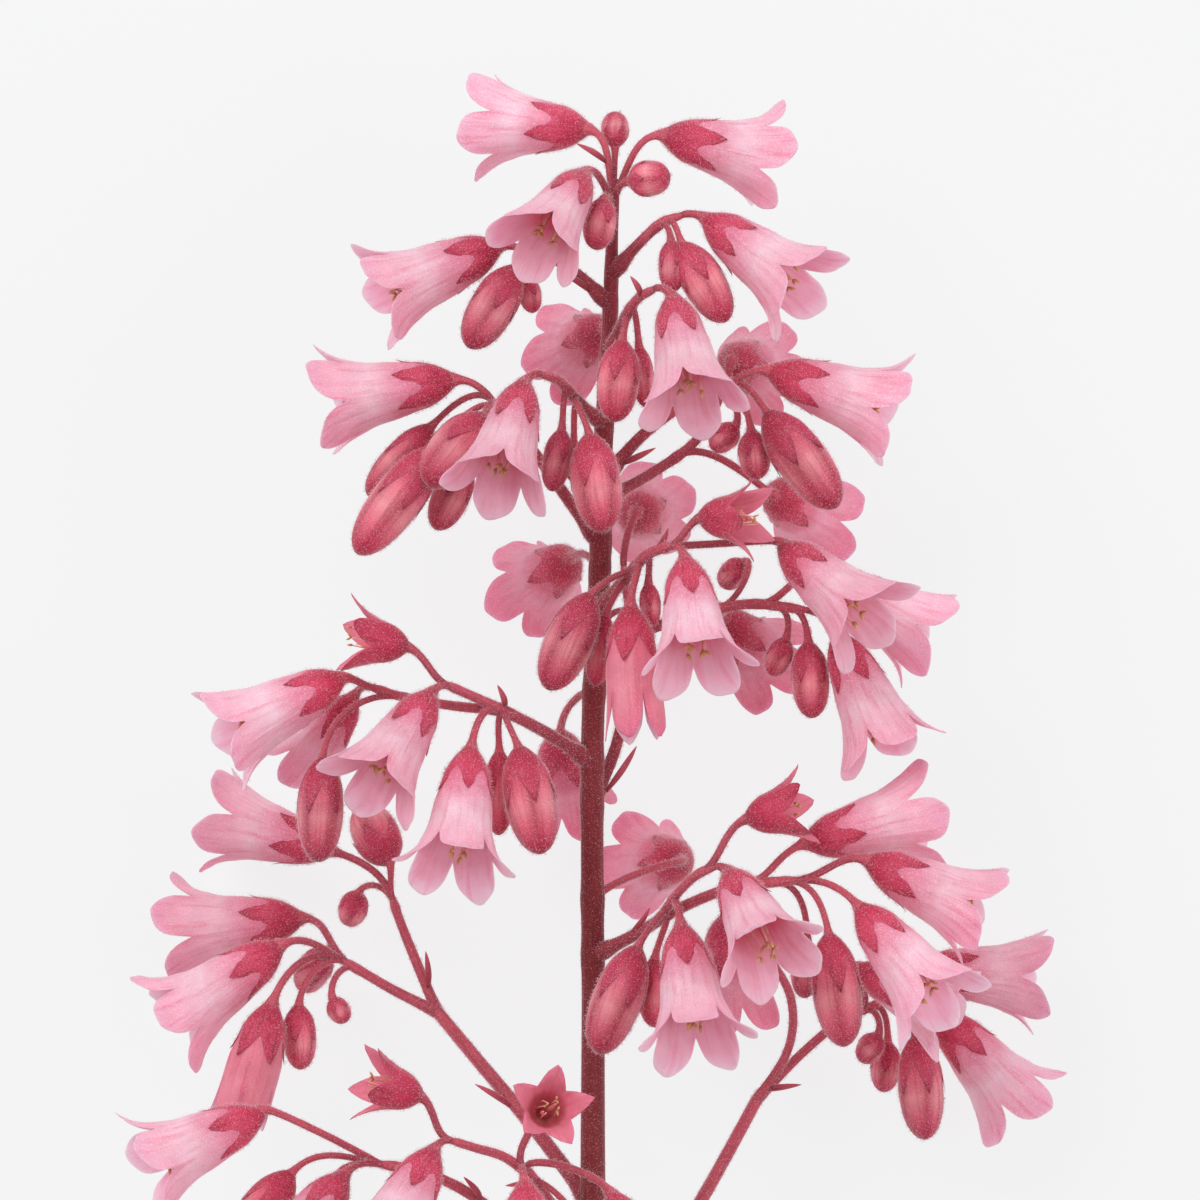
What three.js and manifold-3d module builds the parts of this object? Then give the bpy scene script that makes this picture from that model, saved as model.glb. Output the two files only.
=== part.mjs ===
// A cut flowering stem of heuchera (coral bells), lying on a flat surface, in millimetres.
//
// The main stem lies along Y with its cut end at -Y and its tip at +Y, and +Z is up. Side sprays leave
// the stem all round. Each spray is one deep rose solid: its stalks, its hanging calyx cups, its buds and
// its spent cups. Each open bloom's pink bell is a solid of its own, seated in its calyx cup.
//
// The tables of blooms give places in a working frame: X and Y from a point half way up the flowering
// part, and Z from the main stem's axis. The group is then moved so that the origin is on the surface,
// under the middle of the whole plant.
import * as THREE from "three";
import { mergeVertices } from "three/addons/utils/BufferGeometryUtils.js";
import Module from "manifold-3d";

const wasm = await Module();
wasm.setup();

// ---------------------------------------------------------------- driving dimensions
const LOBES = 5; // sepals and petals come in fives
const SEAT_GAP = 0.3; // running gap between a bell and its calyx, and between a spray and the stem
const WALL = 0.6; // thickness of a bell's wall and lobes
const SLIVER = 0.05; // edges shorter than this, left where stalks join, are drawn together
const PEDICEL_R = 0.38; // a flower's own little stalk
const PEDICEL_SIDES = 4;
const THIN_SIDES = 3; // a bud's stalk
const STALK_SIDES = 5;
const STALK_STEP = 3.2; // length of one straight piece of a side stalk
const STEM_SIDES = 8;
const BUD_SIDES = 6;

// An open bloom: the calyx cup has one size, and the bell grows on from it to the bloom's own length.
// Its first lobe is the one on its upper side, and lobes on the upper side turn outwards the furthest.
const FLARE = [1.25, 0.95, 0.72, 0.72, 0.95]; // radians that each lobe has turned outwards at its tip
const FLARE_SPREAD = 0.12; // and how much that varies from bloom to bloom
const FLARE_START = 0.3; // the angle at which a lobe leaves the throat
const LOOKING_UP = 0.35; // a bloom whose axis rises by more than this has its first lobe on top
const TURN_UP = 0.12; // how far the first lobe is off the top, in radians, where the bloom looks up
const TURN_SIDE = 0.55; // and where it looks sideways or down
const FULL_BLOOM = 12; // a bloom shorter than this is smaller all round
const CALYX = {
  foot: [0.9, 0.0], // radius and height where the urn meets the stalk
  belly: [2.25, 2.3],
  sinus: [2.65, 3.7], // between two sepals
  tip: [3.1, 5.8], // point of a sepal
  inside: [2.05, 2.85], // corners of the floor of the hollow
};
const BELL = {
  foot: [1.85, 3.2], // radius and height of the bell's bottom
  throatR: 3.85,
  throatShare: 0.76, // height of the throat, as a share of the bloom's length
  floor: 5.2, // height of the inside's deepest point
  lobeShare: 0.29, // length of a lobe, as a share of the bloom's length
  lobe: { shoulder: 0.55, shoulderHalf: 2.15 },
};
// A spent bloom, whose bell has dropped: the calyx cup with its five pointed sepals spread.
const CUP_LENGTH = 8.5;
const SPREAD_SEPALS = 0.85; // angle in radians that its sepals have turned outwards at their tips
const CUP = {
  foot: [0.9, 0.0],
  rings: [[2.15, 2.4]],
  throat: [2.35, 4.6],
  floor: 2.0,
  lobe: { length: 4.3, shoulder: 0.35, shoulderHalf: 1.4 },
};
// A bud, drawn 10 mm long and 5 mm wide.
const BUD_LENGTH = 10;
const BUD_WIDTH = 5;
const BUD_PROFILE = [
  [1.2, 0.0],
  [2.45, 3.2],
  [2.1, 7.4],
  [0.0, 10.0],
];

// Main stem: points of its axis with the radius at each.
const STEM = [
  [0.2, -95.0, -3.0, 1.45],
  [-0.4, -80.0, -1.0, 1.4],
  [-0.7, -60.0, 0.0, 1.32],
  [-0.7, -40.0, 0.0, 1.3],
  [-0.8, -20.0, 0.0, 1.26],
  [-0.7, -12.0, 0.0, 1.2],
  [-0.3, -3.0, 0.0, 1.08],
  [0.1, 6.0, 0.0, 1.03],
  [0.4, 17.0, 0.0, 0.9],
  [1.0, 28.0, 0.0, 0.75],
  [1.2, 36.0, 0.0, 0.6],
  [1.4, 42.0, 0.0, 0.5],
];

// Blooms that grow straight from the main stem: kind, height on the stem, foot, tip, and the width of a
// bud or, for a bell whose lobes aren't turned out as far as usual, the share that they are.
const STEM_BLOOMS = [
  ["bud", 41.6, [1.5, 45.4, -0.6], [1.5, 48.9, -0.9], 2.8],
  ["bell", 40.4, [-1.2, 47.1, 0.6], [-11.9, 47.9, -4.6]],
  ["bell", 40.0, [6.3, 46.5, 0.4], [17.3, 44.1, -4.2]],
  ["bell", 39.6, [-1.5, 42.6, 4.4], [-6.6, 34.6, 11.4], 0.5],
  ["bud", 40.6, [3.0, 41.8, 2.2], [6.9, 42.3, 4.0], 3.6],
  ["bud", 39.2, [0.3, 39.9, 3.4], [-0.4, 34.9, 4.8], 3.3],
  ["bell", 22.0, [0.4, 27.2, -7.0], [-3.0, 25.0, -18.8], 0.6],
  ["bell", 3.0, [-3.0, 4.2, -8.6], [-6.8, 1.2, -20.0], 0.6],
  ["bell", -9.0, [-4.0, -13.6, -9.0], [-3.6, -20.6, -18.6], 0.7],
  ["bell", -30.0, [8.2, -26.2, -8.4], [4.4, -26.9, -20.8], 0.7],
];

// Bracts, the small pointed leaves at the forks: foot and tip.
const BRACT_R = 0.5;
const STEM_BRACTS = [
  [[-0.6, 43.4, 0.8], [-2.4, 45.6, 2.0]],
  [[0.6, -19.2, -0.8], [3.7, -14.6, -2.6]],
];

// Sprays. stalks are the points of each stalk's line with its radius at both ends, and the first starts
// on the main stem. A bloom gives its kind, the stalk it grows from, how far along that stalk it
// starts, its foot, its tip, the width of a bud or the share that a bell's lobes are turned out, and
// where its own little stalk takes a way round, a point of that way.
const SPRAYS = [
  {
    name: "upper_right",
    stalks: [
      { r: [0.6, 0.45], line: [[1.1, 32.4, 0], [3.5, 35.2, 1.4], [6.0, 37.5, 2.4], [8.2, 38.4, 3.0]] },
    ],
    bracts: [[[3.2, 34.6, 1.6], [5.2, 37.2, 3.4]]],
    blooms: [
      ["bell", 0, 1.0, [10.5, 38.1, 3.2], [20.8, 30.4, 7.4]],
      ["bud", 0, 0.72, [7.1, 35.7, 4.6], [7.2, 30.6, 5.6], 2.7],
      ["bud", 0, 0.8, [8.2, 35.3, 4.6], [12.6, 27.7, 6.4], 4.3],
    ],
  },
  {
    name: "upper_left",
    stalks: [
      { r: [0.6, 0.45], line: [[1.0, 29.4, 0], [-1.8, 32.2, 0.8], [-4.6, 34.0, 1.4], [-7.6, 35.0, 1.8]] },
    ],
    bracts: [[[-0.9, 30.8, 0.6], [-4.4, 33.0, 2.4]]],
    blooms: [
      ["bell", 0, 1.0, [-10.0, 35.4, 2.0], [-22.6, 30.0, 3.4]],
      ["bud", 0, 0.92, [-8.5, 33.0, 3.4], [-13.1, 25.1, 5.0], 4.6],
      ["bud", 0, 0.85, [-7.4, 32.2, 0.8], [-6.6, 28.7, 0.6], 2.3],
    ],
  },
  {
    name: "front_high",
    stalks: [
      { r: [0.55, 0.45], line: [[0.9, 24.6, 0], [2.1, 27.4, 3.6], [3.6, 29.8, 6.8], [5.4, 30.9, 9.2]] },
    ],
    bracts: [[[4.2, 29.8, 7.8], [3.0, 32.2, 8.0]]],
    blooms: [
      ["bell", 0, 1.0, [7.2, 30.1, 10.6], [9.3, 18.7, 17.0]],
      ["bud", 0, 0.5, [2.2, 25.6, 6.0], [1.4, 17.7, 7.6], 4.2],
      ["bud", 0, 0.6, [3.9, 25.2, 3.4], [4.6, 19.2, 3.6], 2.3],
    ],
  },
  {
    name: "front_left",
    stalks: [
      { r: [0.6, 0.45], line: [[0.3, 17.6, 0], [-2.2, 19.8, 4.4], [-4.0, 21.7, 7.8], [-5.8, 22.4, 10.2]] },
    ],
    blooms: [
      ["bell", 0, 1.0, [-7.5, 21.6, 11.6], [-10.4, 10.7, 17.8]],
      ["bud", 0, 0.45, [-1.0, 16.2, 8.2], [0.3, 6.7, 9.6], 5.0],
      ["bud", 0, 0.6, [-3.8, 16.8, 6.4], [-4.8, 10.8, 7.2], 2.9],
      ["bud", 0, 0.4, [-2.6, 15.6, 4.6], [-2.8, 11.8, 4.8], 1.7],
    ],
  },
  {
    name: "mid_left",
    stalks: [
      { r: [0.65, 0.45], line: [[0.0, 5.6, 0], [-3.6, 10.6, 1.6], [-7.2, 15.6, 2.4], [-10.8, 20.0, 3.2]] },
    ],
    blooms: [
      ["bell", 0, 1.0, [-14.5, 22.0, 3.0], [-27.6, 19.7, 0.6]],
      ["bud", 0, 0.97, [-17.0, 17.2, 0.6], [-23.2, 10.4, 1.0], 3.7],
      ["bud", 0, 0.9, [-16.6, 14.8, 5.4], [-24.2, 4.6, 7.0], 5.0],
      ["bud", 0, 0.95, [-11.6, 18.2, 6.2], [-17.2, 11.4, 8.8], 5.3],
      ["bud", 0, 0.85, [-13.4, 13.6, 2.2], [-16.4, 7.0, 3.2], 3.8],
    ],
  },
  {
    name: "mid_right",
    stalks: [
      { r: [0.65, 0.45], line: [[0.3, 12.0, 0], [4.2, 16.4, 1.4], [8.6, 19.6, 2.2], [13.4, 21.9, 2.8]] },
    ],
    bracts: [[[2.2, 13.6, 0.8], [5.6, 15.2, 2.4]]],
    blooms: [
      ["bell", 0, 1.0, [16.8, 22.9, 3.0], [29.6, 18.6, 2.0]],
      ["bud", 0, 0.95, [16.8, 18.4, 4.6], [23.6, 9.2, 6.2], 5.2],
      ["bud", 0, 0.9, [15.1, 16.8, 3.0], [15.7, 12.0, 3.4], 3.2],
      ["bud", 0, 0.85, [13.6, 17.4, 1.0], [11.2, 15.0, 0.2], 2.7],
    ],
  },
  {
    name: "back_high",
    stalks: [
      { r: [0.6, 0.45], line: [[0.2, 10.0, 0], [5.0, 12.6, -3.4], [9.6, 16.0, -5.4], [12.2, 20.6, -6.2]] },
    ],
    blooms: [
      ["bell", 0, 1.0, [13.2, 24.0, -7.0], [16.4, 23.2, -19.0], 0.6],
      ["bell", 0, 0.55, [17.4, 10.6, -6.4], [22.0, 8.6, -18.0], 0.65],
    ],
  },
  {
    name: "back_mid",
    stalks: [
      {
        r: [0.65, 0.45],
        line: [[-0.8, -20.4, 0], [1.8, -14.0, -4.2], [3.2, -5.0, -8.4], [2.4, 3.4, -11.6]],
      },
    ],
    blooms: [
      ["bell", 0, 1.0, [3.6, 8.8, -12.8], [4.8, 9.0, -25.2], 0.6],
      ["bud", 0, 0.8, [0.4, -2.0, -11.8], [-2.4, -6.4, -13.0], 2.8],
    ],
  },
  {
    name: "front_right",
    stalks: [
      { r: [0.65, 0.5], line: [[-0.1, -1.0, 0], [2.2, 1.8, 5.2], [4.6, 4.4, 9.4], [7.2, 5.5, 11.8]] },
    ],
    bracts: [[[5.4, 4.6, 10.2], [6.8, 7.2, 10.6]]],
    blooms: [
      ["cup", 0, 1.0, [10.0, 8.2, 12.4], [17.7, 8.0, 15.8]],
      ["bell", 0, 0.95, [18.0, 5.4, 9.6], [27.2, -2.5, 14.7], 0, [12.0, 5.6, 9.4]],
      ["bell", 0, 0.98, [8.4, 4.1, 13.6], [9.7, -7.3, 20.3]],
      ["tight", 0, 0.62, [3.0, -0.6, 10.8], [3.6, -13.8, 12.4], 5.6],
      ["bud", 0, 0.5, [-1.1, 0.3, 8.4], [-5.2, -8.9, 10.2], 4.9],
      ["bud", 0, 0.45, [0.5, -1.6, 6.0], [-0.5, -8.6, 5.6], 2.7],
      ["bud", 0, 0.75, [4.8, 1.6, 7.6], [5.2, -2.6, 7.4], 2.1],
    ],
  },
  {
    name: "right",
    stalks: [
      {
        r: [0.65, 0.45],
        line: [[-0.4, -5.4, 0], [4.2, -3.2, 2.2], [9.6, -1.4, 3.4], [15.0, -0.4, 3.4], [20.6, -1.0, 3.2]],
      },
    ],
    blooms: [
      ["bell", 0, 0.78, [22.0, 2.6, 2.4], [33.4, -4.0, 0.8]],
      ["bell", 0, 1.0, [23.6, -3.4, 3.8], [28.9, -15.4, 5.4]],
      ["bell", 0, 0.55, [12.2, -2.0, -2.4], [16.8, -6.4, -13.0], 0.8],
      ["bud", 0, 0.92, [20.8, -4.4, 2.2], [21.2, -11.8, 2.8], 3.8],
      ["bud", 0, 0.85, [18.6, -3.9, 1.2], [17.1, -7.6, 0.8], 2.6],
      ["bud", 0, 0.6, [14.4, 3.8, -0.6], [12.2, 1.4, -2.4], 2.8],
    ],
  },
  {
    name: "left",
    stalks: [
      {
        r: [0.68, 0.45],
        line: [[-0.9, -16.2, 0], [-5.4, -13.2, 3.8], [-10.2, -10.7, 7.2], [-15.2, -8.4, 9.6]],
      },
      {
        r: [0.5, 0.42],
        line: [[-9.6, -11.0, 6.8], [-14.8, -10.5, 6.4], [-19.8, -9.6, 5.8], [-23.0, -8.6, 5.6]],
      },
    ],
    bracts: [[[-9.4, -10.9, 6.8], [-10.2, -8.4, 7.8]]],
    blooms: [
      ["cup", 0, 1.0, [-19.2, -4.6, 9.6], [-27.3, -3.2, 10.6]],
      ["bell", 0, 0.97, [-16.7, -9.2, 11.2], [-22.9, -18.9, 16.7]],
      ["bell", 1, 1.0, [-25.6, -7.7, 6.2], [-38.0, -13.8, 7.4]],
      ["bell", 1, 0.9, [-24.6, -9.6, 1.6], [-29.8, -17.0, -2.6], 0.75],
      ["bud", 1, 0.72, [-27.6, -16.0, 8.6], [-27.9, -26.0, 9.6], 4.6],
      ["bell", 0, 0.66, [-12.8, -14.7, 10.4], [-14.4, -27.2, 16.7]],
      ["bud", 0, 0.6, [-8.0, -14.9, 8.8], [-5.8, -25.2, 10.0], 5.1],
      ["bud", 0, 0.62, [-10.0, -15.2, 6.4], [-10.1, -23.4, 6.0], 3.1],
    ],
  },
  {
    name: "low_right",
    stalks: [
      {
        r: [0.66, 0.45],
        line: [
          [-0.7, -35.6, 0], [3.8, -33.2, 3.8], [8.0, -30.6, 8.0], [13.4, -28.5, 8.8],
          [19.6, -27.8, 8.8],
        ],
      },
      {
        r: [0.5, 0.42],
        line: [[6.0, -31.8, 6.2], [7.6, -29.2, 10.2], [9.6, -27.2, 12.2], [11.4, -26.4, 13.0]],
      },
    ],
    bracts: [[[3.0, -33.4, 3.6], [5.0, -30.6, 4.8]]],
    blooms: [
      ["bell", 1, 0.35, [8.0, -32.2, 12.0], [9.7, -44.3, 18.3]],
      ["bud", 1, 0.2, [3.6, -34.7, 9.6], [-0.3, -45.0, 10.8], 5.0],
      ["bud", 0, 0.42, [5.4, -35.8, 7.0], [5.4, -42.5, 7.0], 3.3],
      ["bell", 1, 1.0, [12.7, -26.8, 13.6], [17.2, -35.6, 22.0]],
      ["cup", 1, 0.85, [14.6, -21.6, 12.6], [22.7, -19.8, 13.6]],
      ["bell", 0, 0.78, [20.3, -24.2, 6.6], [33.0, -21.0, 3.4]],
      ["bell", 0, 1.0, [26.5, -25.8, 9.4], [38.5, -31.5, 8.8]],
      ["bell", 0, 0.98, [25.7, -30.4, 11.4], [33.8, -40.3, 16.2]],
      ["bud", 0, 0.95, [22.7, -33.4, 11.4], [24.2, -44.2, 13.0], 4.9],
      ["bud", 0, 0.9, [20.6, -34.0, 7.0], [20.3, -39.6, 7.0], 3.0],
    ],
  },
  {
    name: "back_left",
    stalks: [
      {
        r: [0.75, 0.62],
        line: [[-0.7, -60.6, 0], [-6.6, -53.0, -4.4], [-12.6, -46.0, -8.2], [-17.2, -40.6, -10.8]],
      },
      {
        r: [0.55, 0.45],
        line: [[-16.4, -41.6, -10.4], [-18.6, -36.5, -12.6], [-20.2, -32.6, -14.0], [-21.0, -30.2, -14.4]],
      },
      {
        r: [0.55, 0.45],
        line: [[-16.4, -41.6, -10.4], [-20.8, -39.4, -11.4], [-23.6, -37.8, -11.8], [-26.0, -36.4, -12.0]],
      },
    ],
    bracts: [[[-8.4, -51.2, -5.6], [-12.6, -48.6, -5.2]], [[-17.4, -39.6, -11.2], [-17.6, -35.4, -11.0]]],
    blooms: [
      ["bud", 1, 1.0, [-21.3, -26.4, -14.4], [-24.2, -21.0, -18.4], 4.8],
      ["bell", 1, 0.97, [-27.2, -25.4, -15.4], [-39.2, -22.0, -18.6], 0.9],
      ["bell", 2, 0.9, [-30.2, -32.2, -16.2], [-43.0, -33.8, -21.2], 0.85],
      ["bell", 2, 1.0, [-32.2, -34.8, -9.4], [-43.6, -42.8, -10.6]],
      ["tight", 2, 0.98, [-33.0, -40.6, -7.8], [-36.6, -53.0, -8.8], 5.4],
      ["bud", 2, 0.95, [-30.4, -41.0, -10.4], [-30.2, -47.4, -11.0], 3.4],
      ["bud", 2, 0.85, [-27.0, -40.2, -9.6], [-25.6, -42.6, -9.4], 2.3],
      ["bud", 2, 0.9, [-27.8, -35.6, -16.6], [-30.4, -39.6, -19.4], 3.5],
      ["bud", 1, 0.95, [-24.6, -29.8, -18.4], [-25.6, -33.0, -20.6], 3.0],
    ],
  },
  {
    name: "back_right",
    stalks: [
      {
        r: [0.75, 0.6],
        line: [[-0.3, -77.6, -0.9], [5.4, -68.5, -5.6], [11.4, -58.5, -11.0], [16.4, -49.6, -14.8]],
      },
      {
        r: [0.5, 0.45],
        line: [[15.7, -50.8, -14.3], [20.4, -46.0, -16.0], [24.6, -42.6, -16.6], [29.0, -40.6, -16.8]],
      },
      {
        r: [0.45, 0.42],
        line: [[15.7, -50.8, -14.3], [19.0, -45.4, -12.4], [19.2, -40.0, -9.4], [16.4, -35.0, -7.0]],
      },
    ],
    bracts: [[[16.2, -49.6, -14.6], [20.4, -49.0, -13.4]]],
    blooms: [
      ["bell", 1, 1.0, [32.2, -37.4, -16.4], [44.8, -38.6, -18.2], 0.85],
      ["bell", 1, 0.97, [34.4, -42.0, -17.4], [43.0, -51.8, -20.8], 0.9],
      ["bud", 1, 0.93, [32.0, -44.4, -13.6], [32.9, -54.6, -13.6], 4.6],
      ["bud", 1, 0.85, [28.2, -44.0, -14.4], [26.4, -46.8, -14.2], 2.7],
      ["bud", 1, 0.9, [29.2, -45.0, -18.4], [28.8, -50.0, -19.4], 3.1],
      ["bell", 1, 0.8, [26.0, -37.0, -8.6], [35.6, -42.0, -6.4]],
      ["bell", 2, 1.0, [12.8, -31.8, -6.6], [13.2, -40.8, -14.4]],
    ],
  },
  {
    name: "low_left",
    stalks: [
      {
        r: [0.7, 0.5],
        line: [
          [-0.6, -72.6, -0.4], [-5.8, -66.0, 2.0], [-11.6, -60.2, 3.6], [-17.0, -57.2, 4.4],
          [-21.8, -56.2, 4.8],
        ],
      },
    ],
    bracts: [[[-11.8, -59.8, 3.8], [-13.6, -57.4, 5.4]]],
    blooms: [
      ["bell", 0, 1.0, [-33.6, -51.1, 5.8], [-45.6, -56.6, 7.4], 0, [-27.4, -53.2, 6.0]],
      ["bell", 0, 0.98, [-25.4, -57.1, 8.0], [-32.5, -66.7, 12.5]],
      ["bud", 0, 0.95, [-31.0, -57.4, 1.8], [-36.8, -65.0, 2.2], 4.6],
      ["bud", 0, 0.9, [-27.0, -58.4, 2.0], [-28.4, -62.6, 1.6], 2.5],
    ],
  },
  {
    name: "front_low",
    stalks: [
      {
        r: [0.66, 0.5],
        line: [[-0.6, -69.0, -0.2], [-2.8, -63.4, 5.0], [-6.0, -58.2, 9.6], [-7.6, -56.2, 11.2]],
      },
      {
        r: [0.5, 0.42],
        line: [[-7.2, -56.7, 10.8], [-9.6, -55.1, 11.6], [-12.2, -54.3, 11.6], [-14.8, -53.5, 11.6]],
      },
    ],
    bracts: [[[-6.4, -57.8, 9.8], [-9.4, -58.0, 11.8]]],
    blooms: [
      ["cup", 0, 1.0, [-5.6, -50.8, 12.2], [-4.4, -49.4, 20.0]],
      ["cup", 1, 1.0, [-17.8, -49.1, 12.0], [-25.5, -46.8, 14.0]],
      ["bell", 1, 0.97, [-16.4, -54.3, 13.2], [-21.8, -64.5, 18.4]],
      ["bell", 0, 0.98, [-7.4, -57.6, 14.0], [-6.7, -69.7, 20.1]],
      ["bell", 0, 0.95, [1.2, -58.8, 12.2], [6.0, -69.7, 16.9]],
      ["bud", 0, 0.85, [-2.6, -61.0, 12.0], [-1.4, -69.8, 13.0], 4.3],
    ],
  },
];

// ---------------------------------------------------------------- colours and finishes
const material = (hex, roughness) => new THREE.MeshStandardMaterial({ color: hex, roughness, metalness: 0 });
const STALK_FINISH = material(0x8f2f3c, 0.75);
const SPRAY_FINISH = material(0xb43a55, 0.7);
const BELL_FINISH = material(0xee9db2, 0.55);

// ---------------------------------------------------------------- small geometry tools
const vec = (p) => new THREE.Vector3(...p);

// A geometry from a list of points and a list of triangles.
function meshFrom(points, triangles) {
  const geometry = new THREE.BufferGeometry();
  geometry.setAttribute("position", new THREE.Float32BufferAttribute(points.flat(), 3));
  geometry.setIndex(triangles.flat());
  return geometry;
}

// A closed mesh as a solid that can be joined and cut.
function solidOf(geometry) {
  const bare = new THREE.BufferGeometry().setAttribute("position", geometry.getAttribute("position"));
  bare.setIndex(geometry.getIndex());
  const merged = mergeVertices(bare, 1e-4);
  return new wasm.Manifold(
    new wasm.Mesh({
      numProp: 3,
      vertProperties: new Float32Array(merged.attributes.position.array),
      triVerts: new Uint32Array(merged.index.array),
    }),
  );
}

function meshOf(solid, name, finish) {
  const { vertProperties, triVerts } = solid.getMesh();
  const geometry = new THREE.BufferGeometry();
  geometry.setAttribute("position", new THREE.BufferAttribute(vertProperties, 3));
  geometry.setIndex(new THREE.BufferAttribute(triVerts, 1));
  geometry.computeVertexNormals();
  const mesh = new THREE.Mesh(geometry, finish);
  mesh.name = name;
  return mesh;
}

// Two rings of one count joined by a band of triangles that face out, and a fan from a ring to a point.
const band = (low, high) =>
  low.flatMap((a, i) => {
    const j = (i + 1) % low.length;
    return [
      [a, low[j], high[j]],
      [a, high[j], high[i]],
    ];
  });
const fan = (ring, apex) => ring.map((a, i) => [a, ring[(i + 1) % ring.length], apex]);
const lid = ([first, ...rest]) => rest.slice(1).map((b, k) => [first, rest[k], b]);
// A ring of five corners joined to a ring of ten above it, which starts over the first corner.
const opening = (five, ten) =>
  five.flatMap((a, i) => {
    const next = five[(i + 1) % five.length];
    const [b0, b1, b2] = [ten[2 * i], ten[2 * i + 1], ten[(2 * i + 2) % ten.length]];
    return [
      [a, b1, b0],
      [a, next, b1],
      [next, b2, b1],
    ];
  });
const reversed = (triangles) => triangles.map(([a, b, c]) => [a, c, b]);

// A tapered round stalk along a curve, closed at both ends, with radius(t) for t from 0 to 1.
function stalk(curve, radius, sides, steps) {
  const frames = curve.computeFrenetFrames(steps);
  const points = [];
  const rings = [];
  for (let s = 0; s <= steps; s++) {
    const centre = curve.getPointAt(s / steps);
    const r = radius(s / steps);
    rings.push([]);
    for (let k = 0; k < sides; k++) {
      const a = (2 * Math.PI * k) / sides;
      const p = centre
        .clone()
        .addScaledVector(frames.normals[s], r * Math.cos(a))
        .addScaledVector(frames.binormals[s], r * Math.sin(a));
      rings[s].push(points.push(p.toArray()) - 1);
    }
  }
  const triangles = reversed(lid(rings[0])).concat(lid(rings[steps]));
  for (let s = 0; s < steps; s++) triangles.push(...band(rings[s], rings[s + 1]));
  return meshFrom(points, triangles);
}

// A body of revolution of few sides from [radius, height] points, flat at the foot and pointed at the top.
function turned(profile, sides) {
  const points = [];
  const rings = profile.slice(0, -1).map(([r, z]) =>
    Array.from({ length: sides }, (_, k) => {
      const a = (2 * Math.PI * k) / sides;
      return points.push([r * Math.cos(a), r * Math.sin(a), z]) - 1;
    }),
  );
  const point = points.push([0, 0, profile.at(-1)[1]]) - 1;
  const triangles = reversed(lid(rings[0])).concat(fan(rings.at(-1), point));
  for (let k = 0; k + 1 < rings.length; k++) triangles.push(...band(rings[k], rings[k + 1]));
  return meshFrom(points, triangles);
}

// ---------------------------------------------------------------- the parts of a bloom
// The calyx cup: an urn with five pointed sepals, and a shallow five-cornered hollow for the bell.
function calyxGeometry() {
  const points = [];
  const add = ([r, z], k) => {
    const a = (Math.PI * k) / LOBES;
    return points.push([r * Math.cos(a), r * Math.sin(a), z]) - 1;
  };
  const corners = (place) => Array.from({ length: LOBES }, (_, i) => add(place, 2 * i));
  const ring = (place) => Array.from({ length: 2 * LOBES }, (_, k) => add(place(k), k));
  const foot = corners(CALYX.foot);
  const belly = ring(() => CALYX.belly);
  const rim = ring((k) => (k % 2 ? CALYX.tip : CALYX.sinus));
  const floor = corners(CALYX.inside);
  return meshFrom(points, [
    ...reversed(lid(foot)),
    ...opening(foot, belly),
    ...band(belly, rim),
    ...reversed(opening(floor, rim)),
    ...lid(floor),
  ]);
}

// A bell or a spread cup: rings up to the throat, five lobes that curl outwards from the throat, and a
// cone-shaped inside. flare(i) is the angle in radians that lobe i has turned outwards at its tip.
function lobedGeometry(form, flare) {
  const points = [];
  const add = (r, a, z, side = 0) =>
    points.push([r * Math.cos(a) - side * Math.sin(a), r * Math.sin(a) + side * Math.cos(a), z]) - 1;
  const ring = (r, z) => Array.from({ length: 2 * LOBES }, (_, k) => add(r, (Math.PI * k) / LOBES, z));
  const [throatR, throatZ] = form.throat;
  const around = (i) => (2 * Math.PI * i) / LOBES;
  const foot = Array.from({ length: LOBES }, (_, i) => add(form.foot[0], around(i), form.foot[1]));
  const outer = ring(throatR, throatZ);
  const inner = ring(throatR - WALL, throatZ);
  const floor = add(0, 0, form.floor);
  const rings = form.rings.map(([r, z]) => ring(r, z)).concat([outer]);
  const triangles = [...reversed(lid(foot)), ...opening(foot, rings[0]), ...fan(inner, floor)];
  for (let k = 0; k + 1 < rings.length; k++) triangles.push(...band(rings[k], rings[k + 1]));
  const { length, shoulder, shoulderHalf } = form.lobe;
  for (let i = 0; i < LOBES; i++) {
    const a = (2 * Math.PI * i) / LOBES;
    const turn = flare(i) - FLARE_START;
    // A point on the lobe, f of its length from the throat, as a pair: outside skin and inside skin.
    const pair = (f, side) => {
      const angle = FLARE_START + turn * f;
      const r = throatR + (length * (Math.cos(FLARE_START) - Math.cos(angle))) / turn;
      const z = throatZ + (length * (Math.sin(angle) - Math.sin(FLARE_START))) / turn;
      return [add(r, a, z, side), add(r - WALL * Math.cos(angle), a, z + WALL * Math.sin(angle), side)];
    };
    const before = (2 * i + 2 * LOBES - 1) % (2 * LOBES);
    const after = 2 * i + 1;
    const outline = [
      [outer[before], inner[before]],
      pair(shoulder, -shoulderHalf),
      pair(1, 0),
      pair(shoulder, shoulderHalf),
      [outer[after], inner[after]],
    ];
    for (let k = 0; k + 1 < outline.length; k++) {
      const [o1, n1] = outline[k];
      const [o2, n2] = outline[k + 1];
      triangles.push([outer[2 * i], o2, o1], [inner[2 * i], n1, n2], [o1, o2, n2], [o1, n2, n1]);
    }
  }
  return meshFrom(points, triangles);
}

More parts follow.
